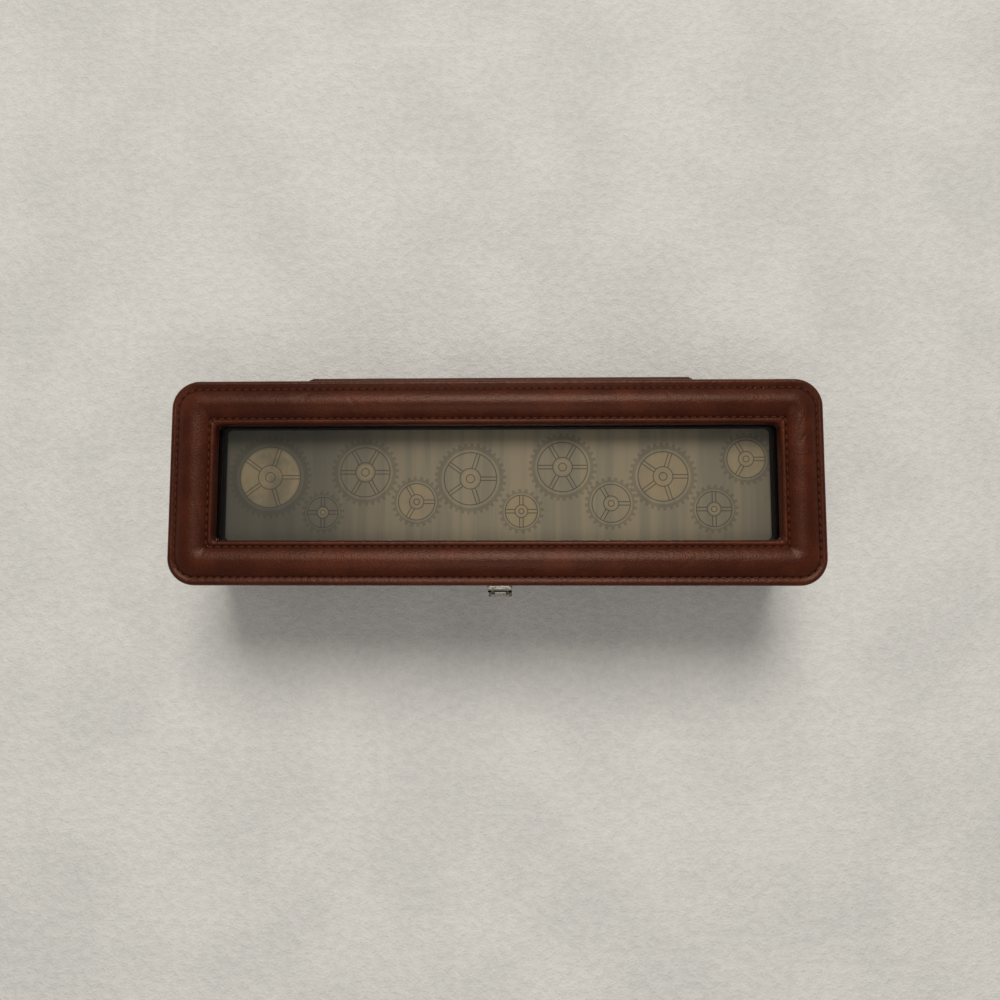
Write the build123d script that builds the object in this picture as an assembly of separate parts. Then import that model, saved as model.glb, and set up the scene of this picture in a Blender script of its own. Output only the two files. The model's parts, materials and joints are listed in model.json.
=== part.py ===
"""A leather-covered watch display box with a glazed, padded lid, modelled in millimetres.

The origin is the centre of the felt base, on the table. +X runs along the box, +Y to the hinges, +Z up.
The front, with the latch, faces -Y. The box stands closed, with the flap of the latch just off its catch.
"""

import os
from math import cos, pi, radians, sin

from build123d import *

# The outside of the box, over its leather
BOX_LENGTH = 330.0
BOX_DEPTH = 104.0
BODY_HEIGHT = 60.0
LID_HEIGHT = 19.6
CORNER_RADIUS = 14.0
LID_GAP = 0.4  # between the lid and the rim of the body

# Sheet and board thicknesses
LEATHER = 1.0
WALL = 4.5
BASE_BOARD = 3.0
WALL_LINING = 1.0
FLOOR_LINING = 1.2
FELT = 1.6
TURN_IN = 6.5  # the leather folded in under the base and under the lid
GLUE_LINE = 0.1  # left round a board that is laid into a recess
RIM_BEVEL = 0.6  # on the leather where it folds over an edge
FITTINGS_OFFSET = 2.4  # the hinges, their strip and the latch sit this far right of the middle

# The compartments and their cushions
SLOTS = 6
DIVIDER = 2.6
DIVIDER_HEIGHT = 40.0
DIVIDER_ROUND = 1.1
CUSHION_HEIGHT = 43.0
CUSHION_SIDE_GAP = 2.2  # to a divider, for the edge of a strap
CUSHION_END_GAP = 6.5  # to the front and the rear, for the thickness of a strap
CUSHION_ROUND = 17.0
CUSHION_CROWN = 2.6  # by which the middle stands over the ends
CUSHION_TAPER_LENGTH = 4.5  # over which the straight middle draws in to each end

# The lid: a deep frame round a sunk pane
BAR_WIDTH = 21.5
WINDOW_RADIUS = 3.0
SEAM_RADIUS = 1.0  # the inner seam turns at corners that are all but square
OUTER_WELT_WIDTH = 3.5  # from the edge of the lid to the outer seam
INNER_WELT_WIDTH = 3.1  # from the window to the inner seam
WELT_RISE = 0.8  # welts over the bottom of the seams
PAD_CROWN = 3.4  # padding over the bottom of the seams
PAD_AT_SEAM = 1.1  # padding left under a seam
PAD_FULLNESS = 0.8  # from 1, an even arch, to less, a flatter top with rounder sides
PAD_STEPS = 6
EDGE_ROUND = 1.8
EDGE_STEPS = 2
WINDOW_LIP = 3.0
GLASS = 2.5
GLASS_BEARING = 2.5  # the glass reaches this far past the window on each side
GLASS_FIT = 0.3
CARD = 0.4
LID_LINING = 2.2
LINING_LAP = 1.0  # the lining of the lid reaches this far in under the card

# The two butt hinges on the rear, under their leather strip
HINGE_SPREAD = 124.0
LEAF_WIDTH = 24.0
LEAF_REACH = 10.5
LEAF = 0.8
LEAF_CORNER = 1.2
BARREL_RADIUS = 1.6
BARREL_STANDOFF = 0.3
HINGE_PIN_RADIUS = 0.75
RUNNING_FIT = 0.05
KNUCKLES = 3
KNUCKLE_GAP = 0.15
LEAF_SWING_GAP = 0.3
STRIP_LENGTH = 199.0
STRIP_RISE = 12.0
STRIP_DROP = 14.0
STRIP = 1.9
STRIP_CORNER = 4.0
STRIP_GAP = 0.3  # from the barrel to the strip that arches over it
STRIP_ARCH = 1.3  # the thickness of the leather there
STRIP_BLEND = 2.0
NEAR = 0.05  # within which a corner of the strip's section is looked for
STRIP_POCKET_GAP = 0.05  # round the leaves, which the strip is glued over

# The flip latch at the middle of the front
LATCH_WIDTH = 12.0
LATCH_SHEET = 0.8
LATCH_AXIS_RISE = 5.6  # from the bottom of the lid
LATCH_BARREL_RADIUS = 1.25
LATCH_BARREL_STANDOFF = 0.15
LATCH_PIN_RADIUS = 0.6
LATCH_PIN_HEAD = 0.95
LATCH_PIN_HEAD_HEIGHT = 0.35
LATCH_EAR = 2.4
LATCH_EAR_GAP = 0.15
LATCH_PLATE_RISE = 8.0
LATCH_CORNER = 1.2
FLAP_DROP = 16.2  # from the pivot to where the finger lip starts
FLAP_SHOULDER = 1.9  # below the pivot, where the flap widens
LIP_RADIUS = 2.3
LIP_SWEEP = 62.0
RELEASE_ANGLE = 7.0  # the flap hangs this far out of its latched place
STRIKE_TOP_DROP = 2.4  # from the rim of the body
STRIKE_HEIGHT = 13.0
NOSE_WIDTH = 5.0
NOSE_HEIGHT = 2.3
NOSE_FLAT = 0.7
NOSE_REACH = 2.4
NOSE_DROP = 15.0  # from the latch's pivot to the underside of the nose
SLOT_GAP = 0.35

# Heights and faces that several pieces share
REAR_FACE = BOX_DEPTH / 2
FRONT_FACE = -BOX_DEPTH / 2
WALL_INSET = LEATHER + WALL
INNER_INSET = WALL_INSET + WALL_LINING
BASE_TOP = FELT + BASE_BOARD
FLOOR = BASE_TOP + FLOOR_LINING
INNER_LENGTH = BOX_LENGTH - 2 * INNER_INSET
INNER_DEPTH = BOX_DEPTH - 2 * INNER_INSET
SLOT_WIDTH = (INNER_LENGTH - (SLOTS - 1) * DIVIDER) / SLOTS
SLOT_PITCH = SLOT_WIDTH + DIVIDER
LID_BOTTOM = BODY_HEIGHT + LID_GAP
CROWN = LID_BOTTOM + LID_HEIGHT
SEAM = CROWN - PAD_CROWN
FRAME_TOP = SEAM - LEATHER - PAD_AT_SEAM
GLASS_TOP = FRAME_TOP - WINDOW_LIP
GLASS_BOTTOM = GLASS_TOP - GLASS
CARD_BOTTOM = LID_BOTTOM + LID_LINING
CARD_TOP = CARD_BOTTOM + CARD
WELL_INSET = BAR_WIDTH - GLASS_BEARING - GLASS_FIT
HINGE_Y = REAR_FACE + BARREL_STANDOFF + BARREL_RADIUS
HINGE_Z = BODY_HEIGHT + LID_GAP / 2
LATCH_Y = FRONT_FACE - LATCH_BARREL_STANDOFF - LATCH_BARREL_RADIUS
LATCH_Z = LID_BOTTOM + LATCH_AXIS_RISE
STRIKE_TOP = BODY_HEIGHT - STRIKE_TOP_DROP


def corner_radius(inset):
    """The corner radius of an outline of the lid.

    It is parallel to the edge as far as the outer seam, narrows to the inner seam, and opens to the window.
    """
    inner_seam = BAR_WIDTH - INNER_WELT_WIDTH
    if inset <= OUTER_WELT_WIDTH:
        return CORNER_RADIUS - inset
    if inset <= inner_seam:
        share = (inset - OUTER_WELT_WIDTH) / (inner_seam - OUTER_WELT_WIDTH)
        return CORNER_RADIUS - OUTER_WELT_WIDTH + share * (SEAM_RADIUS - CORNER_RADIUS + OUTER_WELT_WIDTH)
    share = min((inset - inner_seam) / INNER_WELT_WIDTH, 1)
    return SEAM_RADIUS + share * (WINDOW_RADIUS - SEAM_RADIUS)


def outline(inset, radius, height=0):
    """A rounded rectangle, set in from the outside of the box by the inset."""
    face = RectangleRounded(BOX_LENGTH - 2 * inset, BOX_DEPTH - 2 * inset, radius)
    return Pos(0, 0, height) * face


def body_prism(inset, bottom, top):
    """A block with the outline of the body, whose corners stay parallel to its outside."""
    return extrude(outline(inset, CORNER_RADIUS - inset, bottom), top - bottom)


def lid_prism(inset, bottom, top):
    """A block with an outline of the lid."""
    return extrude(outline(inset, corner_radius(inset), bottom), top - bottom)


def pad_profile(skin):
    """The section through a bar of the lid, from its outer edge to the window, as insets and heights.

    The skin is how far below the outside of the leather the section is taken.
    """
    welt_top = SEAM + WELT_RISE - skin
    groove = SEAM - skin
    roll = EDGE_ROUND - skin
    inner_seam = BAR_WIDTH - INNER_WELT_WIDTH
    window = BAR_WIDTH - skin
    turns = [pi / 2 * step / EDGE_STEPS for step in range(EDGE_STEPS + 1)]
    edge = [(roll * (1 - cos(turn)), welt_top - roll * (1 - sin(turn))) for turn in turns]
    profile = [(skin, LID_BOTTOM + skin)]
    profile += [(skin + inset, height) for inset, height in edge]
    for step in range(PAD_STEPS + 1):
        share = step / PAD_STEPS
        rise = PAD_CROWN * max(sin(pi * share), 0) ** PAD_FULLNESS
        profile.append((OUTER_WELT_WIDTH + share * (inner_seam - OUTER_WELT_WIDTH), groove + rise))
    profile += [(window - inset, height) for inset, height in reversed(edge)]
    return profile


def padded_block(skin):
    """The lid as a solid ring under one skin of its padded top, open at the window."""
    rings = [outline(s, corner_radius(s), z) for s, z in pad_profile(skin)]
    return loft(rings, ruled=True) - lid_prism(BAR_WIDTH - skin, BODY_HEIGHT, CROWN)


def rear_point(x, depth, z):
    """A place on the rear face, at a depth out of it."""
    return Pos(x, REAR_FACE + depth, z)


def front_point(x, depth, z):
    """A place on the front face, at a depth out of it."""
    return Pos(x, FRONT_FACE - depth, z)


# The body: boards in a leather wrap, lined with velvet


def base_felt():
    """The felt sheet that the box stands on, inside the turned-in leather."""
    return body_prism(TURN_IN + GLUE_LINE, 0, FELT)


def base_board():
    """The board under the compartments."""
    return body_prism(WALL_INSET, FELT, BASE_TOP)


def body_wall():
    """The four walls, bent in one ring round the corners."""
    top = BODY_HEIGHT - LEATHER
    return body_prism(LEATHER, FELT, top) - body_prism(WALL_INSET, FELT, top)


def body_wrap():
    """The leather: up the outside, over the rim, and folded in under the base."""
    bottom = FELT - LEATHER
    whole = body_prism(0, bottom, BODY_HEIGHT)
    levels = whole.edges().group_by(Axis.Z)
    whole = chamfer(levels[0] + levels[-1], RIM_BEVEL)
    wall_room = body_prism(LEATHER, FELT, BODY_HEIGHT - LEATHER)
    inside = body_prism(WALL_INSET, BODY_HEIGHT - LEATHER, BODY_HEIGHT)
    fold = body_prism(TURN_IN, bottom, FELT)
    return whole - wall_room - inside - fold


def wall_lining():
    """The velvet on the inside of the walls."""
    return body_prism(WALL_INSET, FLOOR, BODY_HEIGHT) - body_prism(INNER_INSET, FLOOR, BODY_HEIGHT)


def floor_lining():
    """The velvet on the base board."""
    return body_prism(WALL_INSET, BASE_TOP, FLOOR)


def divider(index):
    """A velvet-covered board across the box, after the slot of this index."""
    length = INNER_DEPTH - 2 * GLUE_LINE
    board = Box(DIVIDER, length, DIVIDER_HEIGHT, align=(Align.CENTER, Align.CENTER, Align.MIN))
    top_edges = board.edges().group_by(Axis.Z)[-1].filter_by(Axis.Y)
    x = (index + 1 - SLOTS / 2) * SLOT_PITCH
    return Pos(x, 0, FLOOR) * fillet(top_edges, DIVIDER_ROUND)


def cushion(index):
    """A watch cushion: an oval bolster across its slot, straight in the middle and drawn in at its ends."""
    length = INNER_DEPTH - 2 * CUSHION_END_GAP
    half = SLOT_WIDTH / 2 - CUSHION_SIDE_GAP
    straight, drop = half - CUSHION_TAPER_LENGTH, 2 * CUSHION_CROWN
    levels = ((-half, drop), (-straight, 0), (straight, 0), (half, drop))
    block = loft([Pos(0, 0, z) * Rectangle(length - d, CUSHION_HEIGHT - d) for z, d in levels], ruled=True)
    bolster = block & extrude(RectangleRounded(length, CUSHION_HEIGHT, CUSHION_ROUND), half, both=True)
    middle = ((index + 0.5 - SLOTS / 2) * SLOT_PITCH, 0, FLOOR + CUSHION_HEIGHT / 2)
    return Plane(origin=middle, x_dir=(0, 1, 0), z_dir=(1, 0, 0)) * bolster


# The lid: a deep board frame, padded and covered, with the pane held from below


def lid_frame():
    """The board ring, with a lip over the glass, a well below it and a recess for the lining."""
    whole = lid_prism(LEATHER, LID_BOTTOM + LEATHER, FRAME_TOP)
    window = lid_prism(BAR_WIDTH - LEATHER, LID_BOTTOM, FRAME_TOP)
    well = lid_prism(WELL_INSET, LID_BOTTOM, GLASS_TOP)
    recess = lid_prism(TURN_IN, LID_BOTTOM, CARD_BOTTOM)
    return whole - window - well - recess


def lid_padding():
    """The foam between the frame and the leather, pressed thin under both seams."""
    return padded_block(LEATHER) - lid_prism(0, LID_BOTTOM, FRAME_TOP)


def lid_cover():
    """The leather: up the side, over the padding, down to the glass, and folded in under the lid."""
    fold = lid_prism(TURN_IN, LID_BOTTOM, LID_BOTTOM + LEATHER)
    inner_wall = lid_prism(BAR_WIDTH - LEATHER, LID_BOTTOM, GLASS_TOP)
    return padded_block(0) - padded_block(LEATHER) - fold - inner_wall


def window_glass():
    """The pane, laid up into the well from below."""
    return lid_prism(WELL_INSET + GLASS_FIT, GLASS_BOTTOM, GLASS_TOP)


def window_retainer():
    """The velvet-covered ring pushed up under the glass, flush with the window."""
    outside = lid_prism(WELL_INSET + GLUE_LINE, CARD_TOP, GLASS_BOTTOM)
    return outside - lid_prism(BAR_WIDTH, CARD_TOP, GLASS_BOTTOM)


def insert_card():
    """The printed card under the pane."""
    return lid_prism(WELL_INSET + GLASS_FIT, CARD_BOTTOM, CARD_TOP)


def lid_lining():
    """The velvet-covered board ring under the lid, which carries the card."""
    outside = lid_prism(TURN_IN + GLUE_LINE, LID_BOTTOM, CARD_BOTTOM)
    return outside - lid_prism(BAR_WIDTH + LINING_LAP, LID_BOTTOM, CARD_BOTTOM)


# The hinges: two leaves that share a barrel, a pin, and the strip over them


def knuckle_span(number):
    """The middle and the length of a knuckle along the barrel."""
    pitch = LEAF_WIDTH / KNUCKLES
    return (number + 0.5) * pitch - LEAF_WIDTH / 2, pitch - KNUCKLE_GAP


def hinge_leaf(hinge_x, direction):
    """A leaf on one side of the axis: 1 is the leaf on the lid, -1 the leaf on the body."""
    swing = BARREL_RADIUS + LEAF_SWING_GAP
    plate_height = LEAF_REACH - swing
    plate = Box(LEAF_WIDTH, LEAF, plate_height)
    corners = plate.edges().filter_by(Axis.Y).group_by(Axis.Z)[-1 if direction > 0 else 0]
    plate = fillet(corners, LEAF_CORNER)
    whole = rear_point(0, LEAF / 2, HINGE_Z + direction * (swing + plate_height / 2)) * plate
    for number in range(0 if direction < 0 else 1, KNUCKLES, 2):
        middle, length = knuckle_span(number)
        tab = rear_point(middle, LEAF / 2, HINGE_Z + direction * swing / 2) * Box(length, LEAF, swing)
        barrel = Pos(middle, HINGE_Y, HINGE_Z) * Rot(0, 90, 0) * Cylinder(BARREL_RADIUS, length)
        whole += [tab, barrel]
    bore = Pos(0, HINGE_Y, HINGE_Z) * Rot(0, 90, 0) * Cylinder(HINGE_PIN_RADIUS + RUNNING_FIT, LEAF_WIDTH)
    return Pos(hinge_x, 0, 0) * (whole - bore)


def hinge_pin(hinge_x):
    """The pin through the barrel of one hinge."""
    return Pos(hinge_x, HINGE_Y, HINGE_Z) * Rot(0, 90, 0) * Cylinder(HINGE_PIN_RADIUS, LEAF_WIDTH)


def hinge_strip():
    """The leather strip glued to the lid and the body, which arches over both barrels."""
    out = HINGE_Y - REAR_FACE
    arch = BARREL_RADIUS + STRIP_GAP
    flanges = Pos(STRIP / 2, (STRIP_RISE - STRIP_DROP) / 2) * Rectangle(STRIP, STRIP_RISE + STRIP_DROP)
    crown = arch + STRIP_ARCH
    section = flanges + Pos(out, 0) * Circle(crown)
    section -= Pos(-out, 0) * Rectangle(2 * out, 2 * (STRIP_RISE + STRIP_DROP))
    beside = section.vertices().filter_by_position(Axis.Y, -crown - NEAR, crown + NEAR)
    section = fillet(beside.filter_by_position(Axis.X, STRIP - NEAR, STRIP + NEAR), STRIP_BLEND)
    section -= [Pos(out, 0) * Circle(arch), Pos(out / 2, 0) * Rectangle(out, 2 * arch)]
    plane = Plane(origin=(-STRIP_LENGTH / 2, REAR_FACE, HINGE_Z), x_dir=(0, 1, 0), z_dir=(1, 0, 0))
    strip = extrude(plane * section, STRIP_LENGTH)
    middle = HINGE_Z + (STRIP_RISE - STRIP_DROP) / 2
    trim = RectangleRounded(STRIP_LENGTH, STRIP_RISE + STRIP_DROP, STRIP_CORNER)
    outside = Plane(origin=(0, REAR_FACE, middle), x_dir=(1, 0, 0), z_dir=(0, 1, 0))
    strip &= extrude(outside * trim, 2 * (out + arch))
    gap = STRIP_POCKET_GAP
    pocket = Box(LEAF_WIDTH + 2 * gap, 2 * (LEAF + gap), 2 * (LEAF_REACH + gap))
    return strip - [rear_point(x, 0, HINGE_Z) * pocket for x in (-HINGE_SPREAD / 2, HINGE_SPREAD / 2)]


# The latch: a plate on the lid, a flap that hangs from it, and a strike plate on the body


def latch_barrel(middle, length, radius):
    """A length of the barrel of the latch, or of what runs through it."""
    return Pos(middle, LATCH_Y, LATCH_Z) * Rot(0, 90, 0) * Cylinder(radius, length)


def latch_plate():
    """The plate on the lid, with an ear at each end of the barrel."""
    plate = Box(LATCH_WIDTH, LATCH_SHEET, LATCH_PLATE_RISE)
    plate = fillet(plate.edges().filter_by(Axis.Y).group_by(Axis.Z)[-1], LATCH_CORNER)
    whole = front_point(0, LATCH_SHEET / 2, LATCH_Z + LATCH_PLATE_RISE / 2) * plate
    room = LATCH_BARREL_RADIUS + LATCH_EAR_GAP
    whole -= latch_barrel(0, LATCH_WIDTH - 2 * LATCH_EAR, room + LATCH_BARREL_STANDOFF)
    middle = (LATCH_WIDTH - LATCH_EAR) / 2
    whole += [latch_barrel(x, LATCH_EAR, LATCH_BARREL_RADIUS) for x in (-middle, middle)]
    return whole - latch_barrel(0, LATCH_WIDTH, LATCH_PIN_RADIUS + RUNNING_FIT)


def latch_pin():
    """The pin, with a flat head outside each ear."""
    pin = latch_barrel(0, LATCH_WIDTH, LATCH_PIN_RADIUS)
    reach = (LATCH_WIDTH + LATCH_PIN_HEAD_HEIGHT) / 2
    return pin + [latch_barrel(x, LATCH_PIN_HEAD_HEIGHT, LATCH_PIN_HEAD) for x in (-reach, reach)]


def latch_flap():
    """The flap, bent from one sheet: a knuckle, a slotted blade and a finger lip that curls outwards."""
    knuckle = LATCH_WIDTH - 2 * (LATCH_EAR + LATCH_EAR_GAP)
    outer = LATCH_Y - LATCH_BARREL_RADIUS
    blade_y = outer + LATCH_SHEET / 2
    neck = Box(knuckle, LATCH_SHEET, 2 * FLAP_SHOULDER)
    neck = Pos(0, blade_y, LATCH_Z - FLAP_SHOULDER) * neck
    blade = Box(LATCH_WIDTH, LATCH_SHEET, FLAP_DROP - FLAP_SHOULDER)
    blade = Pos(0, blade_y, LATCH_Z - (FLAP_SHOULDER + FLAP_DROP) / 2) * blade
    bend = Plane(origin=(-LATCH_WIDTH / 2, outer - LIP_RADIUS, LATCH_Z - FLAP_DROP), z_dir=(1, 0, 0))
    ring = Circle(LIP_RADIUS + LATCH_SHEET) - Circle(LIP_RADIUS)
    a = radians(LIP_SWEEP)
    far = 3 * LIP_RADIUS
    wedge = Polygon((0, 0), (far, 0), (far, -far), (far * cos(a), -far * sin(a)), align=None)
    lip = extrude(bend * (ring & wedge), LATCH_WIDTH)
    whole = latch_barrel(0, knuckle, LATCH_BARREL_RADIUS) + [neck, blade, lip]
    slot_height = NOSE_HEIGHT + 2 * SLOT_GAP
    slot_middle = LATCH_Z - NOSE_DROP + NOSE_HEIGHT / 2
    whole -= Pos(0, blade_y, slot_middle) * Box(NOSE_WIDTH + 2 * SLOT_GAP, 4 * LATCH_SHEET, slot_height)
    whole -= latch_barrel(0, LATCH_WIDTH, LATCH_PIN_RADIUS + RUNNING_FIT)
    pivot = Pos(0, LATCH_Y, LATCH_Z)
    return pivot * Rot(-RELEASE_ANGLE, 0, 0) * pivot.inverse() * whole


def strike_plate():
    """The plate on the body, with the nose that the flap snaps over."""
    plate = Box(LATCH_WIDTH, LATCH_SHEET, STRIKE_HEIGHT)
    plate = fillet(plate.edges().filter_by(Axis.Y), LATCH_CORNER)
    whole = front_point(0, LATCH_SHEET / 2, STRIKE_TOP - STRIKE_HEIGHT / 2) * plate
    nose = Polygon((0, 0), (NOSE_REACH, 0), (NOSE_REACH, NOSE_FLAT), (0, NOSE_HEIGHT), align=None)
    foot = (NOSE_WIDTH / 2, FRONT_FACE - LATCH_SHEET, LATCH_Z - NOSE_DROP)
    plane = Plane(origin=foot, x_dir=(0, -1, 0), z_dir=(-1, 0, 0))
    return whole + extrude(plane * nose, NOSE_WIDTH)


def fittings():
    """The hinges, their strip and the latch, by name, as if they sat at the middle of the box."""
    made = {
        "hinge_strip": hinge_strip(),
        "latch_plate": latch_plate(),
        "latch_pin": latch_pin(),
        "latch_flap": latch_flap(),
        "strike_plate": strike_plate(),
    }
    for name, x in (("left", -HINGE_SPREAD / 2), ("right", HINGE_SPREAD / 2)):
        made[f"hinge_{name}_body_leaf"] = hinge_leaf(x, -1)
        made[f"hinge_{name}_lid_leaf"] = hinge_leaf(x, 1)
        made[f"hinge_{name}_pin"] = hinge_pin(x)
    return made


def pieces():
    """Every piece of the box, by name."""
    made = {
        "base_felt": base_felt(),
        "base_board": base_board(),
        "body_wall": body_wall(),
        "body_wrap": body_wrap(),
        "wall_lining": wall_lining(),
        "floor_lining": floor_lining(),
        "lid_frame": lid_frame(),
        "lid_padding": lid_padding(),
        "lid_cover": lid_cover(),
        "window_glass": window_glass(),
        "window_retainer": window_retainer(),
        "insert_card": insert_card(),
        "lid_lining": lid_lining(),
    }
    for index in range(SLOTS):
        made[f"cushion_{index + 1}"] = cushion(index)
    for index in range(SLOTS - 1):
        made[f"divider_{index + 1}"] = divider(index)
    for name, fitting in fittings().items():
        made[name] = Pos(FITTINGS_OFFSET, 0, 0) * fitting
    return made


os.makedirs("parts", exist_ok=True)
for node, shape in pieces().items():
    export_step(shape, f"parts/{node}.step")
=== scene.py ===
"""Dresses the watch display box: a padded leather lid, a sunk window, a printed card and a velvet inside.

Everything is in metres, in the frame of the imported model: +X along the box, +Y to the hinges, +Z up.
"""

from __future__ import annotations

import functools
import json
import logging
import math
import random
from dataclasses import dataclass
from enum import Enum
from typing import Callable, Iterable, Sequence

import bmesh
import bpy
from mathutils import Matrix, Vector, noise
from mathutils.bvhtree import BVHTree


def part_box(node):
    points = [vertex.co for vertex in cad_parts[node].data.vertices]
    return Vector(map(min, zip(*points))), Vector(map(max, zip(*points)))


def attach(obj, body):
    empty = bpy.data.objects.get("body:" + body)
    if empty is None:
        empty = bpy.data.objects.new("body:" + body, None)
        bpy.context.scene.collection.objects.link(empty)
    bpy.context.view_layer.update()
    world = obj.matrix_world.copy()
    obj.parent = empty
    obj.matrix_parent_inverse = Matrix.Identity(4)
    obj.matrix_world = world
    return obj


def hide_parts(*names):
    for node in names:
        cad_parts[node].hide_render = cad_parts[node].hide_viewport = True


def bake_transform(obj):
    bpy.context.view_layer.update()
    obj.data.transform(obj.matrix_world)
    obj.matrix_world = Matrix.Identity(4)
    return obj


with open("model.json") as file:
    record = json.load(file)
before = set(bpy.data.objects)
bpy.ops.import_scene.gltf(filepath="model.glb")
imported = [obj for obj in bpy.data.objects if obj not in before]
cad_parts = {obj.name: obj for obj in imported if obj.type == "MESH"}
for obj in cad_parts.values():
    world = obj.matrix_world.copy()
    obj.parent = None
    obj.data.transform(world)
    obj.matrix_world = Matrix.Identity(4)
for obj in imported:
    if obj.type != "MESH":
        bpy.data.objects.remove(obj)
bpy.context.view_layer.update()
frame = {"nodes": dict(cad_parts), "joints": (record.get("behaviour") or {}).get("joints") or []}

LOG = logging.getLogger("watch_box")
MM = 0.001
TAU = 2 * math.pi
DULL = 0.1  # the specular level of stuffs that hardly shine
WELD = 1e-6  # points nearer than this are one
SMOOTH = 180.0  # a crease angle that leaves no edge sharp
FLAT_ANGLE = math.radians(0.5)  # faces that meet at less than this are one
SHARP_ANGLE = math.radians(40)  # edges sharper than this are rounded
Colour = tuple[float, float, float]
Pair = tuple[float, float]


class Body(str, Enum):
    """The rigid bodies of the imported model."""

    BODY = "body"
    LID = "lid"
    LATCH = "latch"


class Slot(str, Enum):
    """The record's material slots."""

    LEATHER = "leather"
    BOARD = "board"
    FOAM = "foam"
    LINING = "black_velvet"
    CUSHION = "cushion_velvet"
    FELT = "felt"
    GLASS = "glass"
    CARD = "card"
    NICKEL = "nickel"
    STEEL = "steel"


class Signal:
    """One value of a node tree. Arithmetic on it adds Math nodes."""

    def __init__(self, paint: Paint, socket: bpy.types.NodeSocket) -> None:
        """Wraps a socket.

        Args:
            paint: The tree that the socket is in.
            socket: The output socket that carries the value.
        """
        self.paint = paint
        self.socket = socket

    def __add__(self, other: Value) -> Signal:
        """The sum."""
        return self.paint.math("ADD", self, other)

    def __radd__(self, other: float) -> Signal:
        """The sum with a number before it."""
        return self.paint.math("ADD", other, self)

    def __sub__(self, other: Value) -> Signal:
        """The difference."""
        return self.paint.math("SUBTRACT", self, other)

    def __rsub__(self, other: float) -> Signal:
        """A number less this value."""
        return self.paint.math("SUBTRACT", other, self)

    def __mul__(self, other: Value) -> Signal:
        """The product."""
        return self.paint.math("MULTIPLY", self, other)

    def __rmul__(self, other: float) -> Signal:
        """The product with a number before it."""
        return self.paint.math("MULTIPLY", other, self)

    def __truediv__(self, other: Value) -> Signal:
        """The quotient."""
        return self.paint.math("DIVIDE", self, other)

    def __pow__(self, other: float) -> Signal:
        """This value to a power."""
        return self.paint.math("POWER", self, other)

    def __abs__(self) -> Signal:
        """The size of the value."""
        return self.paint.math("ABSOLUTE", self)

    def sine(self) -> Signal:
        """The sine of an angle in radians."""
        return self.paint.math("SINE", self)

    def lower(self, other: Value) -> Signal:
        """The lower of two values."""
        return self.paint.math("MINIMUM", self, other)

    def higher(self, other: Value) -> Signal:
        """The higher of two values."""
        return self.paint.math("MAXIMUM", self, other)

    def fade(self, low: float, high: float) -> Signal:
        """A smooth step from 0, at low, to 1, at high.

        Args:
            low: Where the step starts.
            high: Where it ends, which may be below low.

        Returns:
            The step.
        """
        inputs = {0: self, 1: low, 2: high}
        settings = {"interpolation_type": "SMOOTHSTEP"}
        return Signal(self.paint, self.paint.node("ShaderNodeMapRange", settings, inputs).outputs[0])


Value = Signal | float


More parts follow.
